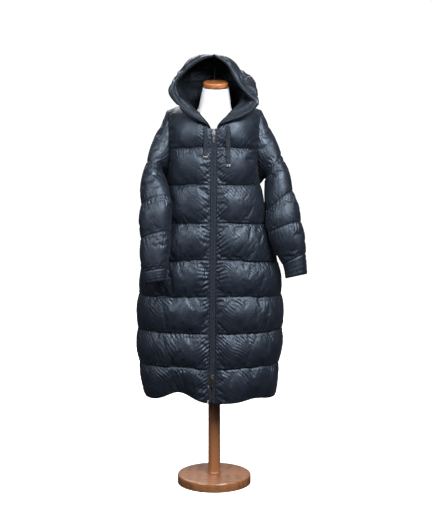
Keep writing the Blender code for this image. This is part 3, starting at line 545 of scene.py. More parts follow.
def row_swell(grid: Array, seams: list[int], full: float, lower_first: float = 1.0) -> Array:
    """The swell of each point by its place between two seams: nothing on one, full midway.

    Args:
        grid: The grid.
        seams: Its rows that are seams.
        full: A row this tall swells by the whole amount.
        lower_first: Over 1, the first row is fullest below its middle.

    Returns:
        A share from 0 to 1 for each point.
    """
    swell = np.zeros(grid.shape[:2])
    for upper, lower in zip(seams, seams[1:]):
        along = np.linspace(0, 1, lower - upper + 1) ** (lower_first if upper == 0 else 1.0)
        steps = np.diff(grid[upper : lower + 1], axis=0)
        length = np.linalg.norm(steps, axis=2).sum(axis=0)
        shape = np.sin(along * math.pi).clip(0) ** 0.8
        swell[upper : lower + 1] = shape[:, None] * np.clip(length / full, 0, 1)[None, :]
    return swell


def pulled_back(layer: Array, gaps: dict[str, float]) -> Array:
    """The layer with its named edges (top, bottom, first, last) drawn back, each by its gap."""
    layer = layer.copy()
    edges = {
        "top": (np.s_[0], np.s_[1]),
        "bottom": (np.s_[-1], np.s_[-2]),
        "first": (np.s_[:, 0], np.s_[:, 1]),
        "last": (np.s_[:, -1], np.s_[:, -2]),
    }
    for name, gap in gaps.items():
        edge, next_in = edges[name]
        layer[edge] += gap * unit(layer[next_in] - layer[edge])
    return layer


def eased_yoke(grid: Array) -> Array:
    """Smooth the yoke's rows along themselves, so that the neckline's corner doesn't run down."""
    eased = grid.copy()
    for row in range(1, YOKE_STEPS + 6):
        line = eased[row]
        for _ in range(min(6 * row, 60)):
            line[1:-1] = (line[:-2] + 2 * line[1:-1] + line[2:]) / 4
        share = min(row / 5, 1.0, (YOKE_STEPS + 6 - row) / 6)
        eased[row] = grid[row] + (line - grid[row]) * share
    return eased


def share_seam_normals(grids: dict[str, Array], normals: dict[str, Array]) -> None:
    """Give the points that two panels share on a seam one normal, so that the panels join."""
    sums: dict[tuple[float, ...], Array] = {}
    edges = {}
    for name, grid in grids.items():
        edge = np.ones(grid.shape[:2], bool)
        edge[1:-1, 1:-1] = False
        keys = [tuple(key) for key in np.round(grid[edge], 5) + 0.0]
        edges[name] = (edge, keys)
        for key, normal in zip(keys, normals[name][edge]):
            sums[key] = sums.get(key, 0) + normal
    for name, (edge, keys) in edges.items():
        normals[name][edge] = unit(np.array([sums[key] for key in keys]))


def run_across(grid: Array) -> Array:
    """Distance of each point from its row's first point, along the row, in metres."""
    steps = np.linalg.norm(np.diff(grid, axis=1), axis=2)
    return np.concatenate([np.zeros((len(grid), 1)), steps.cumsum(axis=1)], axis=1)


def run_down(grid: Array) -> Array:
    """Distance of each point from its column's top point, down the column, in metres."""
    steps = np.linalg.norm(np.diff(grid, axis=0), axis=2)
    return np.concatenate([np.zeros((1, grid.shape[1])), steps.cumsum(axis=0)])


def twice_as_fine(layer: Array, axis: int, wraps: bool = False) -> Array:
    """The grid with a row, or column, added midway between each two, on a smooth curve.

    Args:
        layer: The grid.
        axis: 0 to add rows, 1 to add columns.
        wraps: Whether the last one is next to the first, so that one is added there too.

    Returns:
        The finer grid.
    """
    layer = np.swapaxes(layer, 0, axis)
    if wraps:
        ring = np.concatenate([layer[-1:], layer, layer[:2]])
        between = (9 * (ring[1:-2] + ring[2:-1]) - ring[:-3] - ring[3:]) / 16
        fine = np.stack([layer, between], axis=1).reshape(-1, *layer.shape[1:])
        return np.swapaxes(fine, 0, axis)
    before = np.concatenate([2 * layer[:1] - layer[1:2], layer[:-2]])
    after = np.concatenate([layer[2:], 2 * layer[-1:] - layer[-2:-1]])
    between = (9 * (layer[:-1] + layer[1:]) - before - after) / 16
    fine = np.empty((2 * len(layer) - 1, *layer.shape[1:]))
    fine[::2], fine[1::2] = layer, between
    return np.swapaxes(fine, 0, axis)


# ---------------------------------------------------------------- finishes


class Shader:
    """A node material under construction."""

    def __init__(self, name: str) -> None:
        """Start a material of that name, with a plain Principled shader."""
        self.material = bpy.data.materials.new(name)
        self.material.use_nodes = True
        self.tree = self.material.node_tree
        self.surface = self.tree.nodes["Principled BSDF"]

    def node(self, kind: str, inputs: dict | None = None, **settings: object) -> bpy.types.Node:
        """Add a node.

        Args:
            kind: Its type, without the words ShaderNode.
            inputs: Values, or sockets to link, by the name or number of the input.
            **settings: Its own settings.

        Returns:
            The node.
        """
        made = self.tree.nodes.new("ShaderNode" + kind)
        for name, value in settings.items():
            setattr(made, name, value)
        self.feed(made, inputs or {})
        return made

    def feed(self, node: bpy.types.Node, inputs: dict) -> None:
        """Set or link inputs of a node."""
        for name, value in inputs.items():
            if isinstance(value, bpy.types.NodeSocket):
                self.tree.links.new(value, node.inputs[name])
            else:
                node.inputs[name].default_value = value

    def place(self, source: str) -> bpy.types.NodeSocket:
        """Coordinates of a point: Object, or UV."""
        return self.node("TexCoord").outputs[source]

    def mapped(self, vector: bpy.types.NodeSocket, **inputs: Point) -> bpy.types.NodeSocket:
        """Coordinates stretched by a Scale and turned by a Rotation."""
        return self.node("Mapping", {"Vector": vector, **inputs}).outputs["Vector"]

    def waves(
        self, vector: bpy.types.NodeSocket, scale: float, distortion: float, detail: float = 2.0
    ) -> bpy.types.NodeSocket:
        """Wavy bands across the first axis, from 0 to 1."""
        inputs = {"Vector": vector, "Scale": scale, "Distortion": distortion, "Detail": detail}
        return self.node("TexWave", inputs, wave_type="BANDS").outputs["Fac"]

    def noise(
        self, vector: bpy.types.NodeSocket, scale: float, detail: float = 3.0, **settings: object
    ) -> bpy.types.NodeSocket:
        """A noise value from 0 to 1."""
        inputs = {"Vector": vector, "Scale": scale, "Detail": detail}
        return self.node("TexNoise", inputs, **settings).outputs["Fac"]

    def stepped(
        self, value: bpy.types.NodeSocket, low: float, high: float, to: tuple[float, float] = (0, 1)
    ) -> bpy.types.NodeSocket:
        """A value taken smoothly from one range to another, and held at its ends."""
        inputs = {"Value": value, "From Min": low, "From Max": high}
        inputs |= {"To Min": to[0], "To Max": to[1]}
        made = self.node("MapRange", inputs, interpolation_type="SMOOTHSTEP")
        return made.outputs["Result"]

    def sums(self, kind: str, first: object, second: object = 0.5) -> bpy.types.NodeSocket:
        """The result of a Math node on two values."""
        return self.node("Math", {0: first, 1: second}, operation=kind).outputs[0]

    def mixed(self, share: object, first: object, second: object) -> bpy.types.NodeSocket:
        """Two colours mixed."""
        made = self.node("Mix", data_type="RGBA")
        for index, value in ((0, share), (6, first), (7, second)):
            if isinstance(value, bpy.types.NodeSocket):
                self.tree.links.new(value, made.inputs[index])
            elif index:
                made.inputs[index].default_value = (*value, 1)
            else:
                made.inputs[index].default_value = value
        return made.outputs[2]

    def bumped(self, height: bpy.types.NodeSocket, depth: float, strength: float) -> None:
        """Add a bump of a depth in metres on top of those before it."""
        made = self.node("Bump", {"Height": height, "Distance": depth, "Strength": strength})
        link = self.surface.inputs["Normal"].links
        if link:
            self.tree.links.new(link[0].from_socket, made.inputs["Normal"])
        self.tree.links.new(made.outputs["Normal"], self.surface.inputs["Normal"])


@dataclass(frozen=True)
class NylonFinish:
    """Satin nylon of the padded panels, with its quilting seams, stitches, fine crinkles and
    painted shade along the seams.
    """

    name: str = "quilted_nylon"
    deep: Point = (0.0034, 0.0048, 0.0092)
    pale: Point = (0.0080, 0.0110, 0.0192)
    # seam: near-black colour of the painted shade in the seam and stitch grooves
    seam: Point = (0.0008, 0.0011, 0.0019)
    gloss: tuple[float, float] = (0.41, 0.55)
    sheen: float = 0.05
    crinkle: float = 0.0011
    gather: float = 0.0034
    gather_reach: float = 0.065
    seam_half: float = 0.0035
    stitch_long: float = 0.0032
    slant_rows: float = 0.0

    def material(self) -> bpy.types.Material:
        """Build the node material."""
        made = Shader(self.name)
        body = made.place("Object")
        cloth = made.place("UV")
        seam_run = made.node("Attribute", attribute_name="seam").outputs["Fac"]
        cloud = made.noise(body, 7.0, 4.0)
        colour = made.mixed(cloud, self.deep, self.pale)
        # Painted shade: within a few millimetres of a seam or stitch line the colour goes to the
        # near-black seam colour.
        seam_shade_share = made.stepped(seam_run, 0.0004, self.seam_half, (1, 0))
        inputs = {
            "Base Color": made.mixed(seam_shade_share, colour, self.seam),
            "Roughness": made.stepped(made.noise(body, 26.0, 3.0), 0.3, 0.7, self.gloss),
            "Sheen Weight": self.sheen,
            "Sheen Roughness": 0.35,
            "IOR": 1.60,
            "Specular Tint": (0.66, 0.81, 1.0, 1),
        }
        made.feed(made.surface, inputs)
        across = made.node("SeparateXYZ", {"Vector": cloth})
        along = made.sums("MULTIPLY", across.outputs["X"], math.pi / self.stitch_long)
        dash = made.stepped(made.sums("SINE", along), -0.2, 0.5)
        thread = made.sums("MULTIPLY", dash, made.stepped(seam_run, 0.0003, 0.0012, (1, 0)))
        near = made.stepped(seam_run, 0.0, self.gather_reach, (1, 0.08))
        sway = made.node("TexNoise", {"Vector": body, "Scale": 11.0, "Detail": 1.0})
        inputs = {0: sway.outputs["Color"], 1: (0.5, 0.5, 0.5)}
        moved = made.node("VectorMath", inputs, operation="SUBTRACT").outputs[0]
        inputs = {0: moved, 1: (0.11, 0.0, 0.0), 2: cloth}
        slanted = made.node("VectorMath", inputs, operation="MULTIPLY_ADD").outputs[0]
        drawn = made.mapped(slanted, Scale=(1.0, 0.16, 1.0))
        gathers = made.noise(drawn, 80.0, 2.5, noise_type="RIDGED_MULTIFRACTAL")
        made.bumped(made.sums("MULTIPLY", gathers, near), self.gather, 0.75)
        fine = made.mapped(slanted, Scale=(1.0, 0.35, 1.0))
        crinkle = made.noise(fine, 210.0, 4.0, noise_type="RIDGED_MULTIFRACTAL")
        made.bumped(crinkle, self.crinkle, 0.16)
        made.bumped(made.noise(body, 30.0, 4.0), 0.004, 0.15)
        made.bumped(thread, 0.0006, 0.6)
        if self.slant_rows:
            rows = made.mapped(cloth, Rotation=(0, 0, math.radians(38)))
            made.bumped(made.waves(rows, 0.314 / self.slant_rows, 0.5), 0.0016, 0.8)
        for turn in (0, math.pi / 2):
            threads = made.mapped(cloth, Rotation=(0, 0, turn))
            made.bumped(made.waves(threads, 330.0, 0.4), 0.00006, 0.5)
        return made.material


@dataclass(frozen=True)
class TapeFinish:
    """Woven narrow cloth: zip tapes, drawstrings and the hood's casing."""

    name: str
    dark: Point
    light: Point
    roughness: float
    thread: float
    depth: float

    def material(self) -> bpy.types.Material:
        """Build the node material."""
        made = Shader(self.name)
        cloth, body = made.place("UV"), made.place("Object")
        heights = []
        for turn in (math.pi / 4, -math.pi / 4):
            threads = made.mapped(cloth, Rotation=(0, 0, turn))
            heights.append(made.waves(threads, 1 / self.thread, 0.6))
        weave = made.sums("MAXIMUM", *heights)
        shade = made.sums("MULTIPLY", made.noise(body, 40.0), weave)
        rough = (self.roughness - 0.08, self.roughness + 0.08)
        inputs = {
            "Base Color": made.mixed(shade, self.dark, self.light),
            "Roughness": made.stepped(made.noise(body, 60.0), 0.3, 0.7, rough),
            "Sheen Weight": 0.04,
            "Specular IOR Level": 0.3,
            "Specular Tint": (0.70, 0.84, 1.0, 1),
        }
        made.feed(made.surface, inputs)
        made.bumped(weave, self.depth, 0.7)
        return made.material


@dataclass(frozen=True)
class PlasticFinish:
    """Moulded plastic of the zip's teeth."""

    name: str = "moulded_teeth"
    dark: Point = (0.010, 0.013, 0.020)
    light: Point = (0.026, 0.032, 0.046)

    def material(self) -> bpy.types.Material:
        """Build the node material."""
        made = Shader(self.name)
        body = made.place("Object")
        inputs = {
            "Base Color": made.mixed(made.noise(body, 180.0), self.dark, self.light),
            "Roughness": made.stepped(made.noise(body, 320.0), 0.3, 0.7, (0.28, 0.42)),
        }
        made.feed(made.surface, inputs)
        made.bumped(made.noise(body, 900.0), 0.0001, 0.3)
        return made.material


@dataclass(frozen=True)
class MetalFinish:
    """Cast and tumbled zip metal, worn brighter in patches."""

    name: str
    dull: Point
    bright: Point
    roughness: tuple[float, float] = (0.22, 0.40)

    def material(self) -> bpy.types.Material:
        """Build the node material."""
        made = Shader(self.name)
        body = made.place("Object")
        patch = made.stepped(made.noise(body, 160.0, 4.0), 0.35, 0.65)
        inputs = {
            "Base Color": made.mixed(patch, self.dull, self.bright),
            "Roughness": made.stepped(made.noise(body, 420.0), 0.3, 0.7, self.roughness),
            "Metallic": 1.0,
        }
        made.feed(made.surface, inputs)
        made.bumped(made.noise(body, 900.0, 2.0), 0.0001, 0.25)
        return made.material


@dataclass(frozen=True)
class JerseyFinish:
    """White cotton jersey drawn over the form."""

    name: str = "white_jersey"
    white: Point = (0.74, 0.755, 0.78)
    grey: Point = (0.64, 0.655, 0.69)

    def material(self) -> bpy.types.Material:
        """Build the node material."""
        made = Shader(self.name)
        cloth, body = made.place("UV"), made.place("Object")
        share = made.stepped(made.noise(body, 9.0, 5.0), 0.35, 0.75)
        ribs = made.waves(cloth, 260.0, 1.2, 1.0)
        inputs = {
            "Base Color": made.mixed(made.sums("MULTIPLY", share, ribs), self.white, self.grey),
            "Roughness": made.stepped(share, 0, 1, (0.80, 0.92)),
            "Sheen Weight": 0.15,
        }
        made.feed(made.surface, inputs)
        made.bumped(ribs, 0.0003, 0.5)
        made.bumped(made.noise(body, 300.0, 2.0), 0.0003, 0.3)
        return made.material


@dataclass(frozen=True)
class WoodFinish:
    """Varnished beech, its grain running along one axis."""

    name: str
    early: Point
    late: Point
    grain_scale: Point
    rings: float = 7.0

    def material(self) -> bpy.types.Material:
        """Build the node material."""
        made = Shader(self.name)
        grain = made.mapped(made.place("Object"), Scale=self.grain_scale)
        warp = made.noise(grain, 3.2, 6.0)
        bands = made.waves(grain, self.rings, 5.5, 3.0)
        share = made.sums("MULTIPLY", bands, made.stepped(warp, 0.3, 0.75))
        colour = made.mixed(share, self.early, self.late)
        flecks = made.stepped(made.noise(grain, 34.0, 4.0), 0.60, 0.75, (0, 0.45))
        inputs = {
            "Base Color": made.mixed(flecks, colour, self.late),
            "Roughness": made.stepped(warp, 0.3, 0.7, (0.32, 0.48)),
            "Coat Weight": 1.0,
            "Coat Roughness": 0.12,
        }
        made.feed(made.surface, inputs)
        made.bumped(made.noise(grain, 30.0, 4.0), 0.0002, 0.3)
        return made.material


@dataclass(frozen=True)
class StudioFinish:
    """White paper of the floor and backdrop, which also glows a little."""

    name: str = "studio_paper"
    white: Point = (0.90, 0.90, 0.90)
    glow: float = 0.80

    def material(self) -> bpy.types.Material:
        """Build the node material."""
        made = Shader(self.name)
        inputs = {
            "Base Color": (*self.white, 1),
            "Roughness": 0.9,
            "Emission Color": (1, 1, 1, 1),
            "Emission Strength": self.glow,
        }
        made.feed(made.surface, inputs)
        return made.material


class Wardrobe:
    """The finishes, each made once."""

    def __init__(self) -> None:
        """Build every material."""
        self.nylon = NylonFinish().material()
        self.cuff = NylonFinish("cuff_nylon", seam_half=0.0016, crinkle=0.0008).material()
        self.hood = NylonFinish(
            "hood_nylon", gather=0.0050, gather_reach=0.10, crinkle=0.0018
        ).material()
        # The hood's inner face: the same nylon made far darker, as painted shade inside the hood.
        self.lining = NylonFinish(
            "hood_lining",
            deep=(0.0008, 0.0011, 0.0020),
            pale=(0.0022, 0.0030, 0.0052),
            gloss=(0.50, 0.62),
            sheen=0.0,
        ).material()
        self.casing = NylonFinish(
            "casing_nylon", pale=(0.0060, 0.0084, 0.0150), slant_rows=0.0065, gather=0.0015
        ).material()
        self.cord = TapeFinish(
            "drawstring_tape", (0.005, 0.007, 0.012), (0.020, 0.025, 0.037), 0.55, 0.0022, 0.0004
        ).material()
        self.tape = TapeFinish(
            "zip_tape", (0.006, 0.008, 0.013), (0.020, 0.025, 0.036), 0.62, 0.0014, 0.0003
        ).material()
        self.teeth = PlasticFinish().material()
        self.steel = MetalFinish("grey_metal", (0.30, 0.30, 0.32), (0.62, 0.62, 0.64)).material()
        self.bronze = MetalFinish("dull_bronze", (0.20, 0.14, 0.10), (0.48, 0.36, 0.27)).material()
        self.jersey = JerseyFinish().material()
        self.base_wood = WoodFinish(
            "base_beech", (0.30, 0.125, 0.050), (0.135, 0.048, 0.018), (1.2, 14.0, 14.0)
        ).material()
        self.post_wood = WoodFinish(
            "post_beech", (0.30, 0.120, 0.047), (0.15, 0.052, 0.019), (16.0, 16.0, 1.2)
        ).material()
        self.cap_wood = WoodFinish(
            "cap_beech", (0.42, 0.150, 0.045), (0.20, 0.058, 0.016), (1.4, 18.0, 18.0)
        ).material()
        self.paper = StudioFinish().material()


# ---------------------------------------------------------------- making meshes


def in_scene(name: str, data: bpy.types.ID) -> bpy.types.Object:
    """Put a new object with that data in the scene."""
    made = bpy.data.objects.new(name, data)
    bpy.context.scene.collection.objects.link(made)
    return made


def numbered(rows: int, columns: int, wraps: bool) -> Array:
    """The numbers of a grid's points, with its first column again at the end if it wraps."""
    index = np.arange(rows * columns).reshape(rows, columns)
    return np.concatenate([index, index[:, :1]], axis=1) if wraps else index


def strips(index: Array) -> Array:
    """The four-sided faces between a grid's numbered points."""
    corners = [index[:-1, :-1], index[:-1, 1:], index[1:, 1:], index[1:, :-1]]
    return np.stack(corners, -1).reshape(-1, 4)


def tube_piece(name: str, rings: Array, cloth: Array) -> bpy.types.Object:
    """A closed tube through a stack of rings, with a cloth map.

    Args:
        name: Name of the object.
        rings: The rings' points.
        cloth: Place on the flat cloth of each of them, in metres.

    Returns:
        The object, facing outwards and shaded smooth.
    """
    index = numbered(*rings.shape[:2], True)
    faces = strips(index).tolist() + [index[0, :-1].tolist()[::-1], index[-1, :-1].tolist()]
    mesh = bpy.data.meshes.new(name)
    mesh.from_pydata(rings.reshape(-1, 3).tolist(), [], faces)
    shape = bmesh.new()
    shape.from_mesh(mesh)
    bmesh.ops.recalc_face_normals(shape, faces=shape.faces)
    flat = shape.loops.layers.uv.new("cloth")
    places = cloth.reshape(-1, 2)
    for face in shape.faces:
        for loop in face.loops:
            loop[flat].uv = places[loop.vert.index]
    shape.to_mesh(mesh)
    shape.free()
    mesh.shade_smooth()
    return in_scene(name, mesh)


def edit_where(piece: bpy.types.Object, kind: str, chosen: Callable[[object], bool]) -> None:
    """Enter edit mode with the parts of a piece selected that pass a test, and no others.

    Args:
        piece: The active object.
        kind: Which parts: verts, edges or faces.
        chosen: The test.
    """
    bpy.ops.object.mode_set(mode="EDIT")
    bpy.ops.mesh.select_all(action="DESELECT")
    shape = bmesh.from_edit_mesh(piece.data)
    for part in getattr(shape, kind):
        part.select = chosen(part)
    if kind == "verts":
        shape.select_flush(True)
    bmesh.update_edit_mesh(piece.data)


def place_piece(
    piece: bpy.types.Object, node: str, material: bpy.types.Material
) -> bpy.types.Object:
    """Let a piece stand for a solid, ride with the coat, and wear its finish.

    Args:
        piece: The new piece.
        node: The solid it stands for.
        material: Its finish.

    Returns:
        The piece.
    """
    piece.data.materials.clear()
    piece.data.materials.append(material)
    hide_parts(node)
    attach(piece, BODY_NAME)
    LOG.info("%s: %d faces", piece.name, len(piece.data.polygons))
    return piece


def layered_piece(
    name: str, outer: Array, inner: Array, uv: Array, seam: Array, wraps: bool = False
) -> bpy.types.Object:
    """A closed wall between two grids of one size, with its cloth map and seam distances.

    Args:
        name: Name of the object.
        outer: The outer grid.
        inner: The inner grid.
        uv: Place on the flat cloth of each grid point, in metres.
        seam: Distance of each grid point from the nearest seam, in metres; the nylon paints shade
            near it.
        wraps: Whether the last column joins the first.

    Returns:
        The object, facing outwards and shaded smooth.
    """
    rows, columns = outer.shape[:2]
    points = np.concatenate([outer.reshape(-1, 3), inner.reshape(-1, 3)])
    closed = numbered(rows, columns, wraps)
    under = rows * columns
    faces = [strips(closed), strips(closed)[:, [0, 3, 2, 1]] + under]
    edges = [(closed[0, 1:], closed[0, :-1]), (closed[-1, :-1], closed[-1, 1:])]
    if not wraps:
        edges += [(closed[:-1, 0], closed[1:, 0]), (closed[1:, -1], closed[:-1, -1])]
    for start, end in edges:
        faces.append(np.stack([start, end, end + under, start + under], -1))
    faces = np.concatenate(faces)
    corner = points[faces]
    volume = np.einsum("ij,ij->i", corner[:, 0], np.cross(corner[:, 1], corner[:, 2])).sum()
    volume += np.einsum("ij,ij->i", corner[:, 0], np.cross(corner[:, 2], corner[:, 3])).sum()
    if volume < 0:
        faces = faces[:, ::-1]
    mesh = bpy.data.meshes.new(name)
    mesh.from_pydata(points.tolist(), [], faces.tolist())
    layer = mesh.uv_layers.new(name="cloth")
    flat = np.concatenate([uv.reshape(-1, 2)] * 2)
    layer.data.foreach_set("uv", flat[faces.reshape(-1)].astype(np.float32).reshape(-1))
    stored = mesh.attributes.new("seam", "FLOAT", "POINT")
    stored.data.foreach_set("value", np.tile(seam.reshape(-1), 2).astype(np.float32))
    mesh.shade_smooth()
    return in_scene(name, mesh)


@dataclass
class PaddedPanel:
    """A panel padded between its seams, from its middle surface."""

    name: str
    grid: Array
    normals: Array
    seams: list[int]
    swell: Array
    puff: float
    gaps: dict[str, float]
    wraps: bool = False
    growth: float = 0.028
    pressure: float = 4.0
    frames: int = 18
    pinned_columns: int = 1
    spare: float = 0.009
    gather: float = 0.0062
    gather_wide: float = 0.0150
    zip_creases: bool = False
    finer: tuple[bool, bool] = (True, True)
    seed: int = 1
    inner_creases: float = 0.35
    guards: tuple[tuple[float, float, float, float], ...] = ()
    stitched_at: float = 0.0
    leans: tuple[tuple[float, ...], tuple[float, ...]] = ((0.0, 0.3, 0.6), (-0.5, 0.4, -0.4))
    finish: bpy.types.Material | None = None
    # Finish of the inner face: a darker copy of the outer finish, as painted shade.
    lining: bpy.types.Material | None = None

    def start(self, share: float) -> Array:
        """The outer surface at a share of its full swell."""
        return self.grid + self.normals * (WALL / 2 + self.puff * share * self.swell[..., None])

    def blown_up(self) -> Array:
        """Blow the outer cloth up between its pinned seams.

        Returns:
            The outer surface.
        """
        rows, columns = self.grid.shape[:2]
        first = self.start(START_SWELL)
        ripple = value_noise(first, RIPPLE_SIZE, self.seed) * self.swell * RIPPLE_HEIGHT
        first = first + self.normals * ripple[..., None]
        index = numbered(rows, columns, self.wraps)
        mesh = bpy.data.meshes.new("cloth")
        mesh.from_pydata(first.reshape(-1, 3).tolist(), [], strips(index).tolist())
        mesh.update()
        facing = np.zeros(len(mesh.polygons) * 3)
        mesh.polygons.foreach_get("normal", facing)
        want = self.normals[:-1, : index.shape[1] - 1].reshape(-1, 3)
        if (facing.reshape(-1, 3) * want).sum() < 0:
            mesh.flip_normals()
        cloth = in_scene("cloth", mesh)
        held = np.zeros((rows, columns), bool)
        held[self.seams] = True
        held[[0, -1]] = True
        if not self.wraps:
            held[:, : self.pinned_columns] = True
            held[:, -1] = True
        group = cloth.vertex_groups.new(name="held")
        group.add(np.nonzero(held.reshape(-1))[0].tolist(), 1.0, "REPLACE")
        modifier = cloth.modifiers.new("cloth", "CLOTH")
        settings = modifier.settings
        settings.quality, settings.mass = 4, 0.12
        settings.tension_stiffness = settings.compression_stiffness = 15
        settings.shear_stiffness, settings.bending_stiffness = 5, 0.4
        settings.tension_damping = settings.compression_damping = settings.shear_damping = 5
        settings.bending_damping, settings.air_damping = 0.5, 2
        settings.vertex_group_mass = "held"
        settings.shrink_min = -self.growth
        settings.use_pressure = True
        settings.uniform_pressure_force = self.pressure
        settings.effector_weights.gravity = 0
        modifier.collision_settings.use_collision = False
        modifier.collision_settings.use_self_collision = False
        modifier.point_cache.frame_start, modifier.point_cache.frame_end = 1, self.frames
        for step in range(1, self.frames + 1):
            bpy.context.scene.frame_set(step)
        evaluated = cloth.evaluated_get(bpy.context.evaluated_depsgraph_get())
        places = np.zeros(rows * columns * 3)
        evaluated.to_mesh().vertices.foreach_get("co", places)
        evaluated.to_mesh_clear()
        bpy.data.objects.remove(cloth, do_unlink=True)
        bpy.data.meshes.remove(mesh)
        bpy.context.scene.frame_set(1)
        return places.reshape(rows, columns, 3)

    def creases(self, grid: Array, top: Array, bottom: Array, across: Array) -> Array:
        """Height of the gathers under and over each seam, and beside the zip.

        Args:
            grid: The middle surface.
            top: Distance of each point from the seam above it.
            bottom: Distance from the seam below it.
            across: Distance along its row.

        Returns:
            A height in metres for each point.
        """
        rows, columns = grid.shape[:2]
        if self.wraps:
            count = round(float(across[:, -1].mean()) / self.gather_wide)
            turn = np.arange(columns)[None, :] / columns * count
            turn = np.repeat(turn, rows, axis=0)
        else:
            turn = across / self.gather_wide
        seed = self.seed * 10
        lean = value_noise(grid, 0.13, seed) * 0.6
        lean = lean + np.interp(across, *self.leans)
        warp = 0.55 * value_noise(grid, 0.030, seed + 1) + 0.9 * value_noise(grid, 0.10, seed + 2)
        uneven = np.clip(0.55 + 0.95 * value_noise(grid, 0.030, seed + 3), 0.05, 1.5)
        height = np.zeros((rows, columns))
        longer = np.interp(grid[..., 2], (0.50, 1.05), (1.5, 0.8))
        for away, reach, power in ((top, 0.028 * longer, 1.0), (bottom, 0.016, 0.7)):
            place = turn + warp + lean * away / self.gather_wide
            ridge = 0.4 - np.abs(2 * (place % 1) - 1) ** 2.2
            fade = (1 - np.exp(-away / 0.0028)) * np.exp(-away / reach)
            height += self.gather * power * uneven * fade * ridge * longer**0.5
        if self.zip_creases:
            fall = np.interp(grid[..., 2], (0.60, 1.00), (-0.75, 0.85))
            place = (grid[..., 2] - fall * across) / 0.0150
            place += 0.8 * value_noise(grid, 0.045, seed + 4)
            ridge = 0.45 - np.abs(2 * (place % 1) - 1) ** 2
            uneven = np.clip(0.65 + 0.9 * value_noise(grid, 0.055, seed + 5), 0.05, 1.5)
            fade = (1 - np.exp(-across / 0.003)) * np.exp(-((across / 0.034) ** 2))
            near_seam = np.clip(np.minimum(top, bottom) / 0.010, 0, 1)
            height += 0.0038 * uneven * fade * ridge * near_seam
        return height

    def build(self) -> bpy.types.Object:
        """Make the panel.

        Returns:
            The closed piece, before it is given its finish.
        """
        outer = self.blown_up()
        grid, normals, swell, seams = self.grid, self.normals, self.swell, self.seams
        for axis, wanted in enumerate(self.finer):
            if wanted:
                wraps = self.wraps and axis == 1
                outer, grid = (twice_as_fine(layer, axis, wraps) for layer in (outer, grid))
                normals = unit(twice_as_fine(normals, axis, wraps))
                swell = twice_as_fine(swell, axis, wraps).clip(0)
                seams = [2 * seam for seam in seams] if axis == 0 else seams
        down, across = run_down(grid), run_across(grid)
        top, bottom = np.zeros_like(down), np.zeros_like(down)
        for upper, lower in zip(seams, seams[1:]):
            rows = np.s_[upper : lower + 1]
            top[rows], bottom[rows] = down[rows] - down[upper], down[lower] - down[rows]
        height = self.creases(grid, top, bottom, across)
        outer = outer + normals * height[..., None]
        off = ((outer - grid) * normals).sum(axis=-1)
        spare = self.spare * np.clip(swell * 1.6, 0, 1)
        for x, wide, low, high in self.guards:
            beside = np.exp(-((np.abs(grid[..., 0] - x) / wide) ** 4))
            level = np.exp(-((np.abs(grid[..., 2] - (low + high) / 2) / (high - low)) ** 6))
            spare = spare * (1 - beside * level) - 0.0008 * beside * level
        most = WALL / 2 + self.puff * swell + spare
        limited = np.maximum(np.minimum(off, most), WALL / 2)
        outer = outer + normals * (limited - off)[..., None]
        rumple = 1 + 0.25 * value_noise(grid, 0.05, self.seed * 10 + 7)
        depth = WALL / 2 + PUFF_IN * swell * rumple - self.inner_creases * height
        inner = grid - normals * np.maximum(depth, WALL / 2)[..., None]
        outer, inner = pulled_back(outer, self.gaps), pulled_back(inner, self.gaps)
        if self.name.startswith("hood"):
            sign = np.sign(grid[..., 0].mean())
            for layer in (outer, inner):
                layer[..., 0] = sign * np.maximum(sign * layer[..., 0], SEAM_GAP / 2)
        uv = np.stack([across, -down], axis=-1)
        self.outer, self.inner, self.fine_normals = outer, inner, normals
        seam = np.minimum(top, bottom)
        # The rim's stitch lines count as seams, so the nylon paints shade along them too.
        if self.stitched_at:
            for away in (self.stitched_at - 0.0025, self.stitched_at + 0.0025):
                seam = np.minimum(seam, np.abs(across - away))
        return layered_piece(f"puffed_{self.name}", outer, inner, uv, seam, self.wraps)


# ---------------------------------------------------------------- the coat


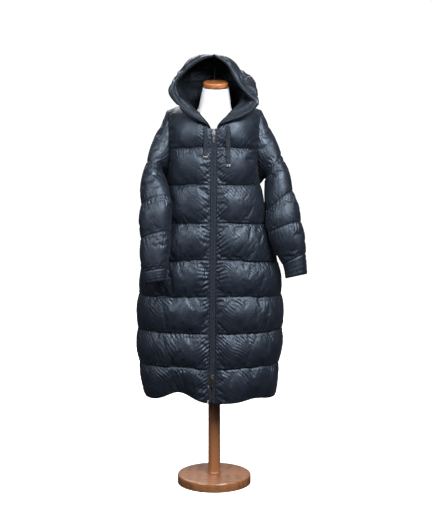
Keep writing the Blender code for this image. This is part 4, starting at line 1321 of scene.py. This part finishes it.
class Coat:
    """The padded coat: fronts, back, sleeves, cuffs, hood, casings."""

    def __init__(self, wardrobe: Wardrobe) -> None:
        """Work out every middle surface of the coat."""
        self.wardrobe = wardrobe
        self.cut = CoatCut()
        self.grids: dict[str, Array] = {}
        self.panels: dict[str, PaddedPanel] = {}
        self.body_seams = [0] + [YOKE_STEPS + ROW_STEPS * k for k in range(len(BODY))]
        halves = {}
        for side in Side:
            front = self.wandering("front", eased_yoke(self.cut.body_panel(side, False)))
            half = self.wandering("back", eased_yoke(self.cut.body_panel(side, True)))
            halves[side] = half
            self.grids[f"front_{side.word}"] = front
            rows = YOKE_STEPS + ROW_STEPS
            loop = np.concatenate([front[: rows + 1, -1], half[1:rows, -1][::-1]])
            end = len(SLEEVES[side]) - 1
            self.grids[f"sleeve_{side.word}"] = self.cut.sleeve(side, loop, 0, end, ROW_STEPS)
            self.grids[f"cuff_{side.word}"] = self.cut.sleeve(side, loop, end, end + 1, CUFF_STEPS)
            front_count = round(NECK_SHARE * (self.cut.front_columns - 1)) + 1
            back_count = round(NECK_SHARE * (self.cut.back_columns - 1))
            neck = np.concatenate([front[0, :front_count], half[0, :back_count][::-1]])
            front_at = np.linspace(0, NECK_SHARE, front_count)
            back_at = np.linspace(NECK_SHARE, 0, back_count + 1)[1:]
            shares = np.concatenate(
                [
                    np.interp(front_at, FRONT_NECK_SHARES, HOOD_SHARES[:5]),
                    np.interp(back_at, BACK_NECK_SHARES[::-1], HOOD_SHARES[:3:-1]),
                ]
            )
            self.hood_shares = shares
            self.grids[f"hood_{side.word}"] = self.cut.hood(side, neck, shares, HOOD_STEPS)
        self.grids["back"] = np.concatenate(
            [halves[Side.RIGHT][:, ::-1], halves[Side.LEFT][:, 1:]], axis=1
        )
        for name, grid in self.grids.items():
            if not name.startswith(("front", "back")):
                self.grids[name] = self.wandering(name, grid)
        self.normals = {}
        for name, grid in self.grids.items():
            found = grid_normals(grid, name.startswith(("sleeve", "cuff")))
            if name.startswith("front"):
                found[:, 0, 0] = 0
                found = unit(found)
            self.normals[name] = found
        share_seam_normals(self.grids, self.normals)

    def wandering(self, name: str, grid: Array) -> Array:
        """Let the quilting seams wander a little up and down, as drawn-up seams do."""
        rows = np.arange(len(grid)) / (len(grid) - 1)
        inside = np.clip(rows / 0.08, 0, 1) * np.clip((1 - rows) / 0.04, 0, 1)
        moved = grid.copy()
        waves = sum(high * value_noise(grid, wide, seed) for high, wide, seed in SEAM_WANDER)
        away = np.clip(np.abs(grid[..., 0] + 0.004) / 0.03 - 0.3, 0, 1)
        if name.startswith("hood"):
            away = 0.5
        moved[..., 2] += waves * inside[:, None] * away
        return moved

    def keep(self, panel: PaddedPanel) -> None:
        """Build a panel and put it in its solid's place."""
        self.panels[panel.name] = panel
        finish = panel.finish or self.wardrobe.nylon
        piece = place_piece(panel.build(), panel.name, finish)
        # The inner faces take the darker copy of the finish, which is painted shade.
        if panel.lining:
            piece.data.materials.append(panel.lining)
            facing = np.zeros(len(piece.data.polygons), np.int32)
            half = (panel.outer.shape[0] - 1) * (panel.outer.shape[1] - 1)
            facing[half : 2 * half] = 1
            piece.data.polygons.foreach_set("material_index", facing)

    def build_body(self) -> None:
        """Make the fronts and the back."""
        for seed, name in enumerate(("front_left", "front_right", "back"), 1):
            grid, front = self.grids[name], name != "back"
            ramp = edge_ramp(grid, FRONT_REACH if front else SIDE_EASE, SIDE_EASE)
            swell = row_swell(grid, self.body_seams, FULL_ROW, YOKE_SWELL_LOW) * ramp
            hem = np.s_[self.body_seams[-2] :]
            swell[hem] *= HEM_SWELL * (HEM_FLOOR + (1 - HEM_FLOOR) * ramp[hem])
            gaps = {"top": FLAT_GAP, "last": FLAT_GAP} | ({} if front else {"first": FLAT_GAP})
            self.keep(
                PaddedPanel(
                    name,
                    grid,
                    self.normals[name],
                    self.body_seams,
                    swell,
                    PUFF_OUT,
                    gaps,
                    pinned_columns=2 if front else 1,
                    zip_creases=front,
                    finer=(front, True),
                    leans=GATHER_LEANS[name],
                    gather_wide=0.0150 if front else BACK_GATHER_WIDE,
                    seed=seed,
                    guards=CORD_GUARDS.get(name, ()),
                )
            )

    def build_sleeves(self) -> None:
        """Make the sleeves and their gathered cuffs."""
        for seed, side in enumerate(Side, 4):
            name = f"sleeve_{side.word}"
            grid = self.grids[name]
            seams = list(range(0, len(grid), ROW_STEPS))
            turns = np.arange(grid.shape[1]) / grid.shape[1] * 2 * math.pi
            share = SLEEVE_FACING if side is Side.LEFT else RIGHT_SLEEVE_FACING
            facing = share[0] + share[1] * np.sin(turns) + share[2] * np.cos(turns)
            swell = row_swell(grid, seams, FULL_ROW, SLEEVE_SWELL_LOW) * facing[None, :]
            swell[: ROW_STEPS + 1] *= SLEEVE_HEAD_SWELL
            self.keep(
                PaddedPanel(
                    name,
                    grid,
                    self.normals[name],
                    seams,
                    swell,
                    SLEEVE_PUFF,
                    {"top": FOLD_GAP, "bottom": FLAT_GAP},
                    wraps=True,
                    growth=0.012,
                    gather=0.0048,
                    gather_wide=0.0135,
                    seed=seed,
                )
            )
            self.build_cuff(side)

    def build_cuff(self, side: Side) -> None:
        """Make a cuff: nylon drawn up on rows of elastic."""
        name = f"cuff_{side.word}"
        grid, normals = self.grids[name], self.normals[name]
        columns = grid.shape[1]
        down, across = run_down(grid), run_across(grid)
        share = down / down[-1:]
        count = round(float(across[:, -1].mean()) / CUFF_FOLD)
        turn = np.arange(columns)[None, :] / columns * count
        turn = turn + 0.5 * value_noise(grid, 0.018, 90 + side.value)
        folds = (np.abs(np.sin(turn * math.pi))) ** 0.7 - 0.5
        elastic = np.abs(np.sin(share * math.pi * ELASTIC_ROWS)) ** 0.5
        height = 0.0013 * folds * (0.35 + 0.65 * elastic) + 0.0012 * elastic
        height *= np.clip(np.minimum(share, 1 - share) * 8, 0, 1)
        outer = grid + normals * (WALL / 2 + np.maximum(height, -0.0006))[..., None]
        inner = grid - normals * (WALL / 2 - 0.35 * height)[..., None]
        outer, inner = (pulled_back(layer, {"top": FLAT_GAP}) for layer in (outer, inner))
        # Distance from the nearest elastic row, along which the cuff's nylon paints shade.
        seam = np.abs((share * ELASTIC_ROWS + 0.5) % 1 - 0.5) / ELASTIC_ROWS * down[-1:]
        uv = np.stack([across, -down], axis=-1)
        piece = layered_piece(f"gathered_{name}", outer, inner, uv, seam, wraps=True)
        place_piece(piece, name, self.wardrobe.cuff)

    def build_hood(self) -> None:
        """Make the two sides of the hood and the casings inside its rim."""
        for seed, side in enumerate(Side, 6):
            name = f"hood_{side.word}"
            grid = self.grids[name]
            last = len(grid) - 1
            seams = [last - row * HOOD_STEPS for row in HOOD_SEAM_ROWS][::-1]
            swell = row_swell(grid, seams, HOOD_FULL_ROW) * edge_ramp(grid, 0.012, 0.040)
            swell = np.sqrt(swell.clip(0)) * np.clip(run_down(grid) / 0.075, 0, 1)
            groove = (run_across(grid) - HOOD_RIM_STITCH) / 0.0085
            swell = swell * (1 - 0.9 * np.exp(-(groove**2)))
            self.keep(
                PaddedPanel(
                    name,
                    grid,
                    self.normals[name],
                    seams,
                    swell,
                    HOOD_PUFF,
                    {"top": FLAT_GAP, "bottom": FOLD_GAP, "last": FLAT_GAP},
                    growth=0.04,
                    gather=0.0034,
                    gather_wide=0.016,
                    spare=0.005,
                    stitched_at=HOOD_RIM_STITCH,
                    finish=self.wardrobe.hood,
                    lining=self.wardrobe.lining,
                    finer=(False, True),
                    seed=seed,
                    inner_creases=0.8,
                )
            )
            self.build_casing(side)

    def build_casing(self, side: Side) -> None:
        """Make the flat casing on the inside of a rim."""
        hood = self.panels[f"hood_{side.word}"]
        count = 2 * int(np.searchsorted(self.hood_shares, CASING_SHARE)) + 1
        out = grid_normals(hood.inner, False)
        if (out * hood.fine_normals).sum() < 0:
            out = -out
        out[0, :, 0] = 0
        rows, columns = slice(0, len(out) - HOOD_STEPS), slice(0, count)
        near = (hood.inner - unit(out) * CASING_GAP)[rows, columns]
        far = near - unit(out)[rows, columns] * CASING_THICK
        near, far = (pulled_back(layer, {"top": FLAT_GAP}) for layer in (near, far))
        across, down = run_across(near), run_down(near)
        edge = np.minimum(across, across[:, -1:] - across)
        uv = np.stack([down, across], axis=-1)
        name = f"hood_casing_{side.word}"
        # Stitch lines 6 mm in from each edge, along which the casing's nylon paints shade.
        piece = layered_piece(f"flat_{name}", far, near, uv, np.abs(edge - 0.006))
        place_piece(piece, name, self.wardrobe.casing)
        width, length = float(across[:, -1].mean()), float(down[-1].mean())
        LOG.info("%s measures %.4f x %.4f m", name, width, length)


# ---------------------------------------------------------------- zip


def deselect() -> None:
    """Leave object mode with nothing selected."""
    if bpy.context.object and bpy.context.object.mode != "OBJECT":
        bpy.ops.object.mode_set(mode="OBJECT")
    bpy.ops.object.select_all(action="DESELECT")


def settle(name: str) -> bpy.types.Object:
    """Name the active object and put its place and turn into its mesh."""
    made = bpy.context.object
    made.name = made.data.name = name
    bpy.ops.object.transform_apply(location=True, rotation=True, scale=True)
    return made


def apply_modifiers(made: bpy.types.Object) -> None:
    """Apply every modifier of the active object."""
    for modifier in list(made.modifiers):
        bpy.ops.object.modifier_apply(modifier=modifier.name)


@dataclass
class Zip:
    """The two-way zip: woven tapes, moulded teeth, and its two cast sliders."""

    coat: Coat
    tape_inner: float = 0.0008
    tape_outer: float = 0.0102
    tape_thick: float = 0.0008
    pitch: float = 0.0030
    tooth: Point = (0.0036, 0.0028, 0.0019)
    tape_length: float = 0.990

    def __post_init__(self) -> None:
        """Read the zip's line from the edges of the fronts."""
        edges = {side: self.coat.grids[f"front_{side.word}"][:, 0] for side in Side}
        self.heights = edges[Side.RIGHT][:, 2]
        self.depth = edges[Side.RIGHT][:, 1]
        cut = self.coat.cut
        self.middle = np.array([cut.zip_x(height) for height in self.heights])
        self.aside = {
            side: side.value * (edges[side][:, 0] - self.middle) - PANEL_EDGE for side in Side
        }

    def at(self, height: float, side: Side | None = None) -> tuple[float, float, float]:
        """Middle line, depth, and how far that side's edge swings aside, at a height."""
        tables = [self.middle, self.depth]
        if side is not None:
            tables.append(self.aside[side])
        found = [float(np.interp(height, self.heights[::-1], t[::-1])) for t in tables]
        return (*found, 0.0)[:3]

    def build_tapes(self) -> None:
        """Make the woven tapes."""
        for side in Side:
            node = f"zip_tape_{side.word}"
            low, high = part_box(node)[0][2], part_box(node)[1][2]
            rows = []
            for height in np.linspace(high, low, 300):
                x, y, aside = self.at(height, side)
                across = np.linspace(self.tape_inner, self.tape_outer - 0.0001, 6)
                rows.append([(x + side.value * (away + aside), y, height) for away in across])
            rows = np.array(rows)
            half = self.tape_thick / 2
            front, back = rows - (0, half, 0), rows + (0, half, 0)
            uv = np.stack([run_across(rows), -run_down(rows)], axis=-1)
            seam = np.full(rows.shape[:2], 1.0)
            piece = layered_piece(f"woven_{node}", front, back, uv, seam)
            place_piece(piece, node, self.coat.wardrobe.tape)

    def model_tooth(self) -> bpy.types.Object:
        """Model one tooth: a block with a rounded head towards the line."""
        deselect()
        bpy.ops.mesh.primitive_cube_add(size=1)
        tooth = bpy.context.object
        tooth.scale = self.tooth
        bpy.ops.object.transform_apply(scale=True)
        edit_where(tooth, "faces", lambda face: face.normal.x < -0.9)
        bpy.ops.mesh.inset(thickness=0.0004)
        bpy.ops.transform.translate(value=(-0.0004, 0, 0))
        bpy.ops.object.mode_set(mode="OBJECT")
        bevel = tooth.modifiers.new("rounded", "BEVEL")
        bevel.width, bevel.segments, bevel.limit_method = 0.0003, 1, "ANGLE"
        bevel.angle_limit = math.radians(50)
        apply_modifiers(tooth)
        return tooth

    def build_teeth(self) -> None:
        """Copy the tooth down the closed chain and down both open edges."""
        tooth = self.model_tooth()
        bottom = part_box("zip_teeth_left")[0][2] + 0.001
        chain_top, chain_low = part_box("zip_chain")[1][2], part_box("zip_chain")[0][2]
        open_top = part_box("zip_teeth_left")[1][2]
        runs = {
            "zip_chain": ((Side.LEFT, Side.RIGHT), chain_top, chain_low),
            "zip_teeth_left": ((Side.LEFT,), open_top, bottom),
            "zip_teeth_right": ((Side.RIGHT,), open_top, bottom),
        }
        for node, (sides, high, low) in runs.items():
            copies = []
            for side in sides:
                start = high - 0.001 - (self.pitch / 2 if side is Side.RIGHT else 0)
                for height in np.arange(start, low + 0.001, -self.pitch):
                    x, y, aside = self.at(height, side)
                    fall = self.at(height + 0.01)[1] - self.at(height - 0.01)[1]
                    turn = Matrix.Rotation(-math.atan2(fall, 0.02), 4, "X")
                    if side is Side.LEFT:
                        turn = turn @ Matrix.Rotation(math.pi, 4, "Z")
                    away = side.value * (self.tooth[0] / 2 - 0.0004 + aside)
                    copy = tooth.copy()
                    copy.data = tooth.data.copy()
                    copy.data.transform(Matrix.Translation((x + away, y, height)) @ turn)
                    bpy.context.scene.collection.objects.link(copy)
                    copies.append(copy)
            deselect()
            for copy in copies:
                copy.select_set(True)
            bpy.context.view_layer.objects.active = copies[0]
            bpy.ops.object.join()
            run = settle(f"moulded_{node}")
            bpy.ops.object.shade_smooth_by_angle(angle=math.radians(35))
            place_piece(run, node, self.coat.wardrobe.teeth)
        bpy.data.objects.remove(tooth, do_unlink=True)

    def dress_sliders(self) -> None:
        """Give the sliders and their pull tabs their metals."""
        for part in ("slider", "pull"):
            dress_node(f"zip_{part}_top", self.coat.wardrobe.steel)
            dress_node(f"zip_{part}_bottom", self.coat.wardrobe.bronze)


def dress_node(node: str, material: bpy.types.Material) -> None:
    """Give a solid that keeps its shape its finish."""
    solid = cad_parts[node]
    solid.data.materials.clear()
    solid.data.materials.append(material)


# ---------------------------------------------------------------- drawstrings


@dataclass
class Drawstrings:
    """Flat woven tapes that hang from the neck seam, with a metal crimp on each end."""

    wardrobe: Wardrobe
    width: float = 0.0150
    thick: float = 0.0014
    sway: float = 0.0006
    rows: int = 49

    def route(self, side: Side) -> Array:
        """The middle line of a drawstring, from the neck seam to its crimp, along its solid."""
        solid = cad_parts[f"drawcord_{side.word}"]
        corners = np.array([vertex.co for vertex in solid.data.vertices])
        heights = np.unique(np.round(corners[:, 2], 5))[::-1]
        middle = [
            corners[np.abs(corners[:, 2] - height) < 1e-4].mean(axis=0) for height in heights
        ]
        places = np.linspace(0, len(middle) - 1, self.rows)
        return np.array([smooth_rows(middle, place) for place in places])

    def build(self, side: Side) -> None:
        line = self.route(side)
        share = np.linspace(0, 1, self.rows)
        twist = 0.10 * np.sin(share * math.pi * 1.6 + side.value)
        turns = np.linspace(0, 2 * math.pi, 13)[:-1]
        across = np.sign(np.cos(turns)) * np.abs(np.cos(turns)) ** 0.3 * self.width / 2
        rise = np.sign(np.sin(turns)) * np.abs(np.sin(turns)) ** 0.6 * self.thick / 2
        rings = []
        for place, lean in zip(line, twist):
            wide = np.array([math.cos(lean), -abs(math.sin(lean)) * 0.4, 0])
            deep = np.array([0.0, 1.0, 0.0])
            rings.append(place + np.outer(across, wide) + np.outer(rise, deep))
        rings = np.array(rings)
        rings[:, :, 1] -= (self.sway * np.sin(share * math.pi * 3) ** 2)[:, None]
        cloth = np.stack([rings[..., 0] - line[0][0], rings[..., 2]], axis=-1)
        node = f"drawcord_{side.word}"
        piece = tube_piece(f"woven_{node}", rings, cloth)
        place_piece(piece, node, self.wardrobe.cord)
        dress_node(f"cord_tip_{side.word}", self.wardrobe.steel)


# ---------------------------------------------------------------- dress form and stand


@dataclass
class DressForm:
    """The limbless torso with its wooden cap, post and round base."""

    wardrobe: Wardrobe
    neck_x: float = 0.006
    lean_from: float = 1.360
    cap_tilt: float = math.radians(10)
    cap_radius: float = 0.0455
    cap_thick: float = 0.0185
    cap_round: float = 0.006
    cap_lift: float = 0.0074
    base_radius: float = 0.138
    base_thick: float = 0.034
    base_round: float = 0.006
    post_radius: float = 0.0225
    post_flare: float = 0.003
    torso_columns: int = 120
    torso_steps: int = 16

    def build_torso(self) -> None:
        """Make the torso, its neck's top cut on the slant under the cap."""
        turns = np.arange(self.torso_columns) / self.torso_columns * 2 * math.pi
        table = [numbers(ring) for ring in TORSO]
        top = TORSO[-1]
        rings = []
        for place in np.linspace(0, len(TORSO) - 1, (len(TORSO) - 1) * self.torso_steps + 1):
            ring = TorsoRing(*smooth_rows(table, place))
            lean = max(0.0, (ring.height - self.lean_from) / (top.height - self.lean_from))
            deep = np.where(np.sin(turns) < 0, ring.front, ring.back)
            x = self.neck_x * lean + ring.half_width * np.cos(turns)
            y = ring.centre_y + deep * np.sin(turns)
            x, y = (place * (1 - self.neck_hem(ring.height)) for place in (x, y))
            slant = np.clip((ring.height - TORSO[-2].height) / 0.029, 0, 1)
            rise = self.cap_lift - 0.0004 + (y - top.centre_y) * math.tan(self.cap_tilt)
            rings.append(np.stack([x, y, ring.height + rise * slant], axis=1))
        for share in (0.7, 0.35, 0.02):
            for at, ring in ((0, rings[0]), (len(rings), rings[-1])):
                middle = ring.mean(axis=0)
                source = rings[-1] if at else rings[0]
                rings.insert(at, middle + (source - middle) * share)
        grid = np.array(rings)
        cloth = np.stack([run_across(grid), run_down(grid)], axis=-1)
        piece = tube_piece("jersey_torso", grid, cloth)
        place_piece(piece, "form_torso", self.wardrobe.jersey)

    def neck_hem(self, height: float) -> float:
        """How far the jersey's sewn hem draws in at a height, as a share of the neck's width."""
        return 0.014 * math.exp(-(((height - 1.4615) / 0.0016) ** 2))

    def rounded(
        self, piece: bpy.types.Object, width: float, segments: int, angle: float = 40
    ) -> None:
        """Round the sharp edges of a turned piece and shade it."""
        bevel = piece.modifiers.new("rounded", "BEVEL")
        bevel.width, bevel.segments = width, segments
        bevel.limit_method, bevel.angle_limit = "ANGLE", math.radians(angle)
        apply_modifiers(piece)
        bpy.ops.object.shade_smooth_by_angle(angle=math.radians(40))

    def hollow_foot(self, piece: bpy.types.Object, inset: float, sink: float) -> None:
        """Inset the round face under a turned piece, and sink it a little."""
        edit_where(piece, "faces", lambda face: face.normal.z < -0.9)
        bpy.ops.mesh.inset(thickness=inset)
        bpy.ops.transform.translate(value=(0, 0, sink))
        bpy.ops.object.mode_set(mode="OBJECT")

    def build_base(self) -> None:
        """Turn the round base: a rounded top edge, and a foot cut in underneath."""
        deselect()
        bpy.ops.mesh.primitive_cylinder_add(
            vertices=128,
            radius=self.base_radius,
            depth=self.base_thick,
            location=(0, 0, self.base_thick / 2),
        )
        base = settle("turned_base")
        top = self.base_thick - 1e-4
        edit_where(base, "edges", lambda edge: all(vert.co.z > top for vert in edge.verts))
        bpy.ops.mesh.bevel(offset=self.base_round, segments=6, profile=0.5)
        bpy.ops.object.mode_set(mode="OBJECT")
        self.hollow_foot(base, 0.006, 0.0015)
        self.rounded(base, 0.0012, 2)
        place_piece(base, "base_disc", self.wardrobe.base_wood)

    def build_post(self) -> None:
        """Turn the post, with a small flare at its foot."""
        low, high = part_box("post")[0][2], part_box("post")[1][2]
        deselect()
        bpy.ops.mesh.primitive_cylinder_add(
            vertices=72,
            radius=self.post_radius,
            depth=high - low,
            location=(0, 0, (low + high) / 2),
        )
        post = settle("turned_post")
        bpy.ops.object.mode_set(mode="EDIT")
        for height in (low + 0.003, low + 0.009):
            bpy.ops.mesh.select_all(action="SELECT")
            bpy.ops.mesh.bisect(plane_co=(0, 0, height), plane_no=(0, 0, 1))
        edit_where(post, "verts", lambda vert: vert.co.z < low + 0.004)
        wider = (self.post_radius + self.post_flare) / self.post_radius
        bpy.ops.transform.resize(value=(wider, wider, 1))
        bpy.ops.object.mode_set(mode="OBJECT")
        self.rounded(post, 0.0010, 3, 20)
        place_piece(post, "post", self.wardrobe.post_wood)

    def build_cap(self) -> None:
        """Turn the neck's cap, with its rounded rim, and lean it forward."""
        deselect()
        bpy.ops.mesh.primitive_cylinder_add(
            vertices=96, radius=self.cap_radius, depth=self.cap_thick
        )
        cap = bpy.context.object
        self.hollow_foot(cap, 0.004, 0.0008)
        self.rounded(cap, self.cap_round, 7)
        top = TORSO[-1]
        lift = top.height + self.cap_thick / 2 + self.cap_lift
        cap.data.transform(
            Matrix.Translation((self.neck_x, top.centre_y, lift))
            @ Matrix.Rotation(self.cap_tilt, 4, "X")
        )
        cap.name = cap.data.name = "turned_cap"
        place_piece(cap, "neck_cap", self.wardrobe.cap_wood)


# ---------------------------------------------------------------- studio


@dataclass
class Studio:
    """White paper sweep, soft lights, and the camera."""

    wardrobe: Wardrobe
    camera_at: Point = (0.0066, -5.0, 1.6)
    camera_tilt: float = math.radians(90 - 8.58)
    lens: float = 94.66
    floor_glow: Point = (0.10, 0.10, 0.11)
    sky_glow: Point = (1.0, 1.0, 1.0)
    world_strength: float = 0.38
    paper_floor: float = 8.0
    paper_bend: float = 1.5
    paper_height: float = 12.0
    paper_below: float = 0.0005
    aim: Point = (0, 0, 0.95)

    def place_camera(self) -> None:
        """Stand the camera in front of the coat."""
        camera = in_scene("camera", bpy.data.cameras.new("camera"))
        camera.location, camera.rotation_euler = self.camera_at, (self.camera_tilt, 0, 0)
        camera.data.lens, camera.data.sensor_width = self.lens, 36
        bpy.context.scene.camera = camera

    def sweep(self) -> None:
        """Turn the floor and the wall round it as one wide bowl, which casts no light back."""
        turns = np.linspace(0, math.pi / 2, 13)
        bend = self.paper_bend
        rows = [(self.paper_floor + bend * math.sin(t), bend - bend * math.cos(t)) for t in turns]
        rows = [(0.05, 0.0), *rows, (self.paper_floor + bend, self.paper_height)]
        around = np.linspace(0, 2 * math.pi, 65)[:-1]
        low = self.paper_below
        points = [(r * math.cos(t), r * math.sin(t), z - low) for r, z in rows for t in around]
        index = numbered(len(rows), len(around), True)
        faces = strips(index)[:, ::-1].tolist() + [index[0, :-1].tolist()]
        mesh = bpy.data.meshes.new("paper")
        mesh.from_pydata(points, [], faces)
        mesh.shade_smooth()
        mesh.materials.append(self.wardrobe.paper)
        paper = in_scene("paper", mesh)
        paper.visible_diffuse = paper.visible_glossy = paper.visible_shadow = False

    def light(self, name: str, place: Point, size: float, power: float) -> None:
        """Hang a soft square light that faces the coat."""
        lamp = in_scene(name, bpy.data.lights.new(name, "AREA"))
        lamp.data.size, lamp.data.energy = size, power
        lamp.location = place
        aim = Vector(self.aim) - Vector(place)
        lamp.rotation_euler = aim.to_track_quat("-Z", "Y").to_euler()

    def light_up(self) -> None:
        """Hang the lights, and set the world and how colours are shown."""
        world = bpy.data.worlds.new("studio")
        world.use_nodes = True
        tree = world.node_tree
        up = tree.nodes.new("ShaderNodeSeparateXYZ")
        tree.links.new(tree.nodes.new("ShaderNodeTexCoord").outputs["Generated"], up.inputs[0])
        ramp = tree.nodes.new("ShaderNodeValToRGB")
        tree.links.new(up.outputs["Z"], ramp.inputs["Fac"])
        for element, glow in zip(ramp.color_ramp.elements, (self.floor_glow, self.sky_glow)):
            element.color = (*glow, 1)
        tree.links.new(ramp.outputs["Color"], tree.nodes["Background"].inputs["Color"])
        tree.nodes["Background"].inputs["Strength"].default_value = self.world_strength
        bpy.context.scene.world = world
        bpy.context.scene.view_settings.view_transform = "Standard"
        self.light("key", (1.4, -2.6, 3.3), 2.0, 260)
        self.light("fill", (-2.3, -2.5, 3.0), 1.9, 90)
        self.light("behind", (-0.6, 2.6, 3.2), 2.0, 80)


def main() -> None:
    """Build the studio, the coat and the form."""
    logging.basicConfig(level=logging.INFO, format="%(message)s")
    wardrobe = Wardrobe()
    studio = Studio(wardrobe)
    studio.place_camera()
    strings = Drawstrings(wardrobe)
    for side in Side:
        strings.build(side)
    coat = Coat(wardrobe)
    coat.build_body()
    coat.build_sleeves()
    coat.build_hood()
    run = Zip(coat)
    run.build_tapes()
    run.build_teeth()
    run.dress_sliders()
    form = DressForm(wardrobe)
    form.build_torso()
    form.build_base()
    form.build_post()
    form.build_cap()
    studio.sweep()
    studio.light_up()


if __name__ == "__main__":
    main()
